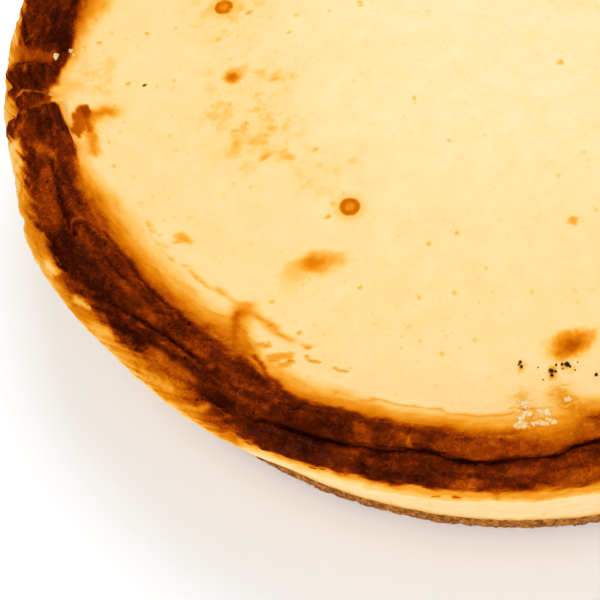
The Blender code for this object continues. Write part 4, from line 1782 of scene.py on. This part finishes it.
@dataclass
class Crumbs:
    """Crumbs of one kind, which lie on the cake or stick to it."""

    name: str
    kind: CrumbKind
    places: list[CrumbPlace]
    seed: int
    fineness: int = 2
    shapes: int = 4
    unevenness: float = 0.35
    proportions: tuple[float, float, float] = (1.0, 0.8, 0.7)
    bend: float = 0.0
    tumble: float = 1.0

    def model(self, number: int) -> bpy.types.Object:
        """Makes one uneven lump, one metre across.

        Args:
            number: Which of the shapes it is.

        Returns:
            The lump.
        """
        start_afresh()
        bpy.ops.mesh.primitive_ico_sphere_add(subdivisions=self.fineness, radius=0.5)
        lump = bpy.context.object
        bpy.ops.object.mode_set(mode="EDIT")
        bpy.ops.mesh.select_all(action="SELECT")
        bpy.ops.transform.resize(value=self.proportions)
        bpy.ops.object.mode_set(mode="OBJECT")
        places = vertex_places(lump)
        noise = GradientNoise(self.seed + number)
        swell = 1.0 + self.unevenness * noise.layered(places * 3.0 + 7.3, 2)
        places = places * swell[:, None]
        places[:, 1] += self.bend * (number - 0.5 * self.shapes) * places[:, 0] ** 2
        move_vertices(lump, places)
        bpy.ops.object.shade_smooth()
        return lump

    def build(self) -> bpy.types.Object:
        """Makes the crumbs as one piece and dresses it.

        Returns:
            The piece.
        """
        draw = random.Random(self.seed)
        lumps = [self.model(number) for number in range(self.shapes)]
        material = self.kind.material(self.name)
        copies = []
        for crumb in self.places:
            data = draw.choice(lumps).data.copy()
            lean = Vector((self.tumble * draw.gauss(0, 1), self.tumble * draw.gauss(0, 1), 1.0))
            turn = Matrix.Rotation(draw.uniform(0.0, math.tau), 4, lean)
            size = Matrix.Scale(crumb.size, 4)
            data.transform(Matrix.Translation(crumb.place) @ size @ turn)
            copy = bpy.data.objects.new(self.name, data)
            bpy.context.scene.collection.objects.link(copy)
            copies.append(copy)
        start_afresh()
        for copy in copies:
            copy.select_set(True)
        bpy.context.view_layer.objects.active = copies[0]
        bpy.ops.object.join()
        piece = bpy.context.object
        piece.name = piece.data.name = self.name
        move_vertices(piece, held_inside(vertex_places(piece), "biscuit_base", "cheesecake_body"))
        piece.data.materials.clear()
        piece.data.materials.append(material)
        for lump in lumps:
            bpy.data.objects.remove(lump)
        return piece


@dataclass
class CrumbLayout:
    """Where the crumbs are."""

    shape: CakeShape
    seed: int = 61
    burnt: tuple[tuple[float, float, float], ...] = (
        *((252.5, 97.5, 0.8), (252.6, 98.7, 0.9), (252.3, 98.1, 0.5), (254.6, 99.0, 0.35)),
        *((256.8, 98.7, 0.6), (256.1, 100.2, 1.1), (256.1, 101.4, 0.8), (256.6, 100.4, 0.6)),
        *((258.1, 98.9, 1.2), (257.5, 98.7, 0.7), (258.4, 99.5, 0.6), (257.5, 99.8, 0.4)),
        *((258.9, 100.5, 0.4), (261.1, 102.6, 0.9), (255.0, 102.3, 0.35), (259.4, 98.6, 0.35)),
    )
    curd_size: Pair = (0.9, 2.1)
    curd_centres: tuple[tuple[float, float, float, int], ...] = (
        (252.2, 17.6, 0.5, 9),
        (252.5, 20.2, 0.9, 10),
        (254.2, 18.0, 0.5, 8),
        (255.0, 18.4, 0.4, 4),
        (252.7, 24.6, 0.6, 6),
        (254.6, 21.4, 0.6, 3),
        (257.2, 25.4, 0.5, 4),
        (166.2, 22.6, 0.5, 7),
        (167.3, 19.0, 0.3, 4),
    )

    def on_skin(self, azimuth: float, distance: float, proud: float) -> Vector:
        """Place on the custard's skin, or proud of it."""
        return Vector(self.shape.skin(np.array([azimuth]), np.array([distance]), proud)[0])

    def on_top(self, azimuth: float, radius: float) -> float:
        """Distance over the skin from the lip at which the top has a radius in millimetres."""
        reach = np.linspace(0.02, self.shape.distances[-1], 400)
        point, _ = self.shape.section(np.full(400, azimuth), reach)
        return float(np.interp(-radius * MM, -point[0], reach))

    def burnt_crumbs(self) -> list[CrumbPlace]:
        """Burnt crumbs that lie on the top near the rim."""
        return [
            CrumbPlace(self.on_skin(azimuth, self.on_top(azimuth, radius), 0.25 * size * MM), size * MM)
            for azimuth, radius, size in self.burnt
        ]

    def curd_crumbs(self) -> list[CrumbPlace]:
        """Soft pale crumbs of curd along the inner side of the rim."""
        draw = random.Random(self.seed)
        places = []
        for azimuth, distance, spread, count in self.curd_centres:
            for _ in range(count):
                turn = azimuth + math.degrees(draw.gauss(0.0, spread * MM) / self.shape.crest_radius)
                over = (distance + draw.gauss(0.0, spread)) * MM
                size = draw.uniform(*self.curd_size) * MM
                places.append(CrumbPlace(self.on_skin(turn, over, -0.04 * size), size))
        return places

    def biscuit_crumbs(self, count: int = 2200) -> list[CrumbPlace]:
        """Crumbs that stand out of the biscuit's edge.

        Args:
            count: How many there are.

        Returns:
            Their places.
        """
        draw = random.Random(self.seed + 1)
        places = []
        for _ in range(count):
            size = min(draw.uniform(0.35, 0.9) + draw.expovariate(8.0), 1.9) * MM
            angle = draw.uniform(0.0, math.tau)
            radius = self.shape.tin_radius - draw.uniform(0.05, 0.30) * size
            height = draw.uniform(0.55 * size, self.shape.biscuit_thickness - 0.2 * size)
            place = Vector((radius * math.cos(angle), radius * math.sin(angle), height))
            places.append(CrumbPlace(place, size))
        return places


@dataclass(frozen=True)
class Lamp:
    """A soft round lamp: where it hangs, its size across and its power in watts."""

    name: str
    place: tuple[float, float, float]
    size: float
    power: float


@dataclass
class Studio:
    """Floor, light and camera."""

    floor_size: float = 6.0
    floor_colour: tuple[float, ...] = (0.90, 0.92, 0.96, 1.0)
    aim: tuple[float, float, float] = (0.0, 0.0, 0.03)
    lamps: tuple[Lamp, ...] = rows_of(
        Lamp,
        ("softbox", (0.75, 0.92, 1.66), 1.5, 22.0),
        ("fill", (-0.8, -1.44, 1.12), 1.3, 18.0),
    )
    lens: float = 72.0
    look_down: float = 58.82
    roll: float = 17.16
    eye: tuple[float, float, float] = (-0.070, -0.202, 0.272)
    sky: float = 0.62

    def lay_floor(self) -> None:
        """Lays a plain pale floor."""
        start_afresh()
        bpy.ops.mesh.primitive_plane_add(size=self.floor_size, location=(0.0, 0.0, 0.0))
        floor = bpy.context.object
        floor.name = "floor"
        bench = Bench("pale_floor")
        finish = {"Base Color": self.floor_colour, "Roughness": 0.9, "Specular IOR Level": 0.0}
        bench.feed(bench.shader, finish)
        floor.data.materials.append(bench.material)

    def hang(self, lamp: Lamp) -> None:
        """Hangs a lamp that points at the cake."""
        data = bpy.data.lights.new(lamp.name, "AREA")
        data.shape = "DISK"
        data.size = lamp.size
        data.energy = lamp.power
        light = bpy.data.objects.new(lamp.name, data)
        light.location = lamp.place
        look = Vector(self.aim) - Vector(lamp.place)
        light.rotation_euler = look.to_track_quat("-Z", "Y").to_euler()
        bpy.context.scene.collection.objects.link(light)

    def set_sky(self) -> None:
        """Surrounds the scene with even white light."""
        world = bpy.data.worlds.new("studio")
        world.use_nodes = True
        background = world.node_tree.nodes["Background"]
        background.inputs["Color"].default_value = (1.0, 1.0, 1.0, 1.0)
        background.inputs["Strength"].default_value = self.sky
        bpy.context.scene.world = world

    def set_camera(self) -> None:
        """Puts the camera where the photograph was taken from."""
        down, roll = math.radians(self.look_down), math.radians(self.roll)
        right = Vector((1.0, 0.0, 0.0))
        upward = Vector((0.0, math.sin(down), math.cos(down)))
        forward = Vector((0.0, math.cos(down), -math.sin(down)))
        across = math.cos(roll) * right - math.sin(roll) * upward
        above = math.sin(roll) * right + math.cos(roll) * upward
        data = bpy.data.cameras.new("camera")
        data.lens = self.lens
        data.sensor_width = 36.0
        data.clip_start = 0.01
        camera = bpy.data.objects.new("camera", data)
        turn = Matrix((across, above, -forward)).transposed().to_4x4()
        camera.matrix_world = Matrix.Translation(Vector(self.eye)) @ turn
        bpy.context.scene.collection.objects.link(camera)
        bpy.context.scene.camera = camera

    def build(self) -> None:
        """Sets up the studio."""
        self.lay_floor()
        self.set_sky()
        for lamp in self.lamps:
            self.hang(lamp)
        self.set_camera()
        view = bpy.context.scene.view_settings
        view.view_transform = "Standard"
        view.look = "None"


def place_piece(piece: bpy.types.Object, nodes: Sequence[str] = ()) -> None:
    """Fastens a piece to the cake and reports it.

    Args:
        piece: The piece.
        nodes: Solids that it stands for.
    """
    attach(piece, "root")
    for node in nodes:
        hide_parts(node)
    piece.data.calc_loop_triangles()
    log.info("%s: %d triangles", piece.name, len(piece.data.loop_triangles))


def main() -> None:
    """Builds the cake's looks and the studio round it."""
    logging.basicConfig(level=logging.INFO, format="%(name)s: %(message)s")
    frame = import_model()
    log.info("solids in the frame: %s", ", ".join(frame["nodes"]))
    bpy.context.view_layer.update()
    Studio().build()
    shape = CakeShape()
    browning = Browning(shape)
    custard = CustardFinish()
    layout = CrumbLayout(shape)
    place_piece(BiscuitBase(shape, BiscuitFinish()).build(), ["biscuit_base"])
    for skin in (CustardBody(shape, browning, custard), BrownedRim(shape, browning, custard)):
        place_piece(skin.build(), ["cheesecake_body"])
    burnt, curd, loose = layout.burnt_crumbs(), layout.curd_crumbs(), layout.biscuit_crumbs()
    flat = {"proportions": (1.0, 0.78, 0.55), "bend": 0.3, "tumble": 0.25}
    crumbs = (
        (Crumbs("burnt_crumbs", CrumbKind.BURNT, burnt, 71), "baked_custard"),
        (Crumbs("curd_crumbs", CrumbKind.CURD, curd, 81, 3, 5, 0.5, **flat), "baked_custard"),
        (Crumbs("biscuit_crumbs", CrumbKind.BISCUIT, loose, 91, fineness=1), "biscuit"),
    )
    for scatter, slot in crumbs:
        place_piece(scatter.build())
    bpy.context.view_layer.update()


if __name__ == "__main__":
    main()
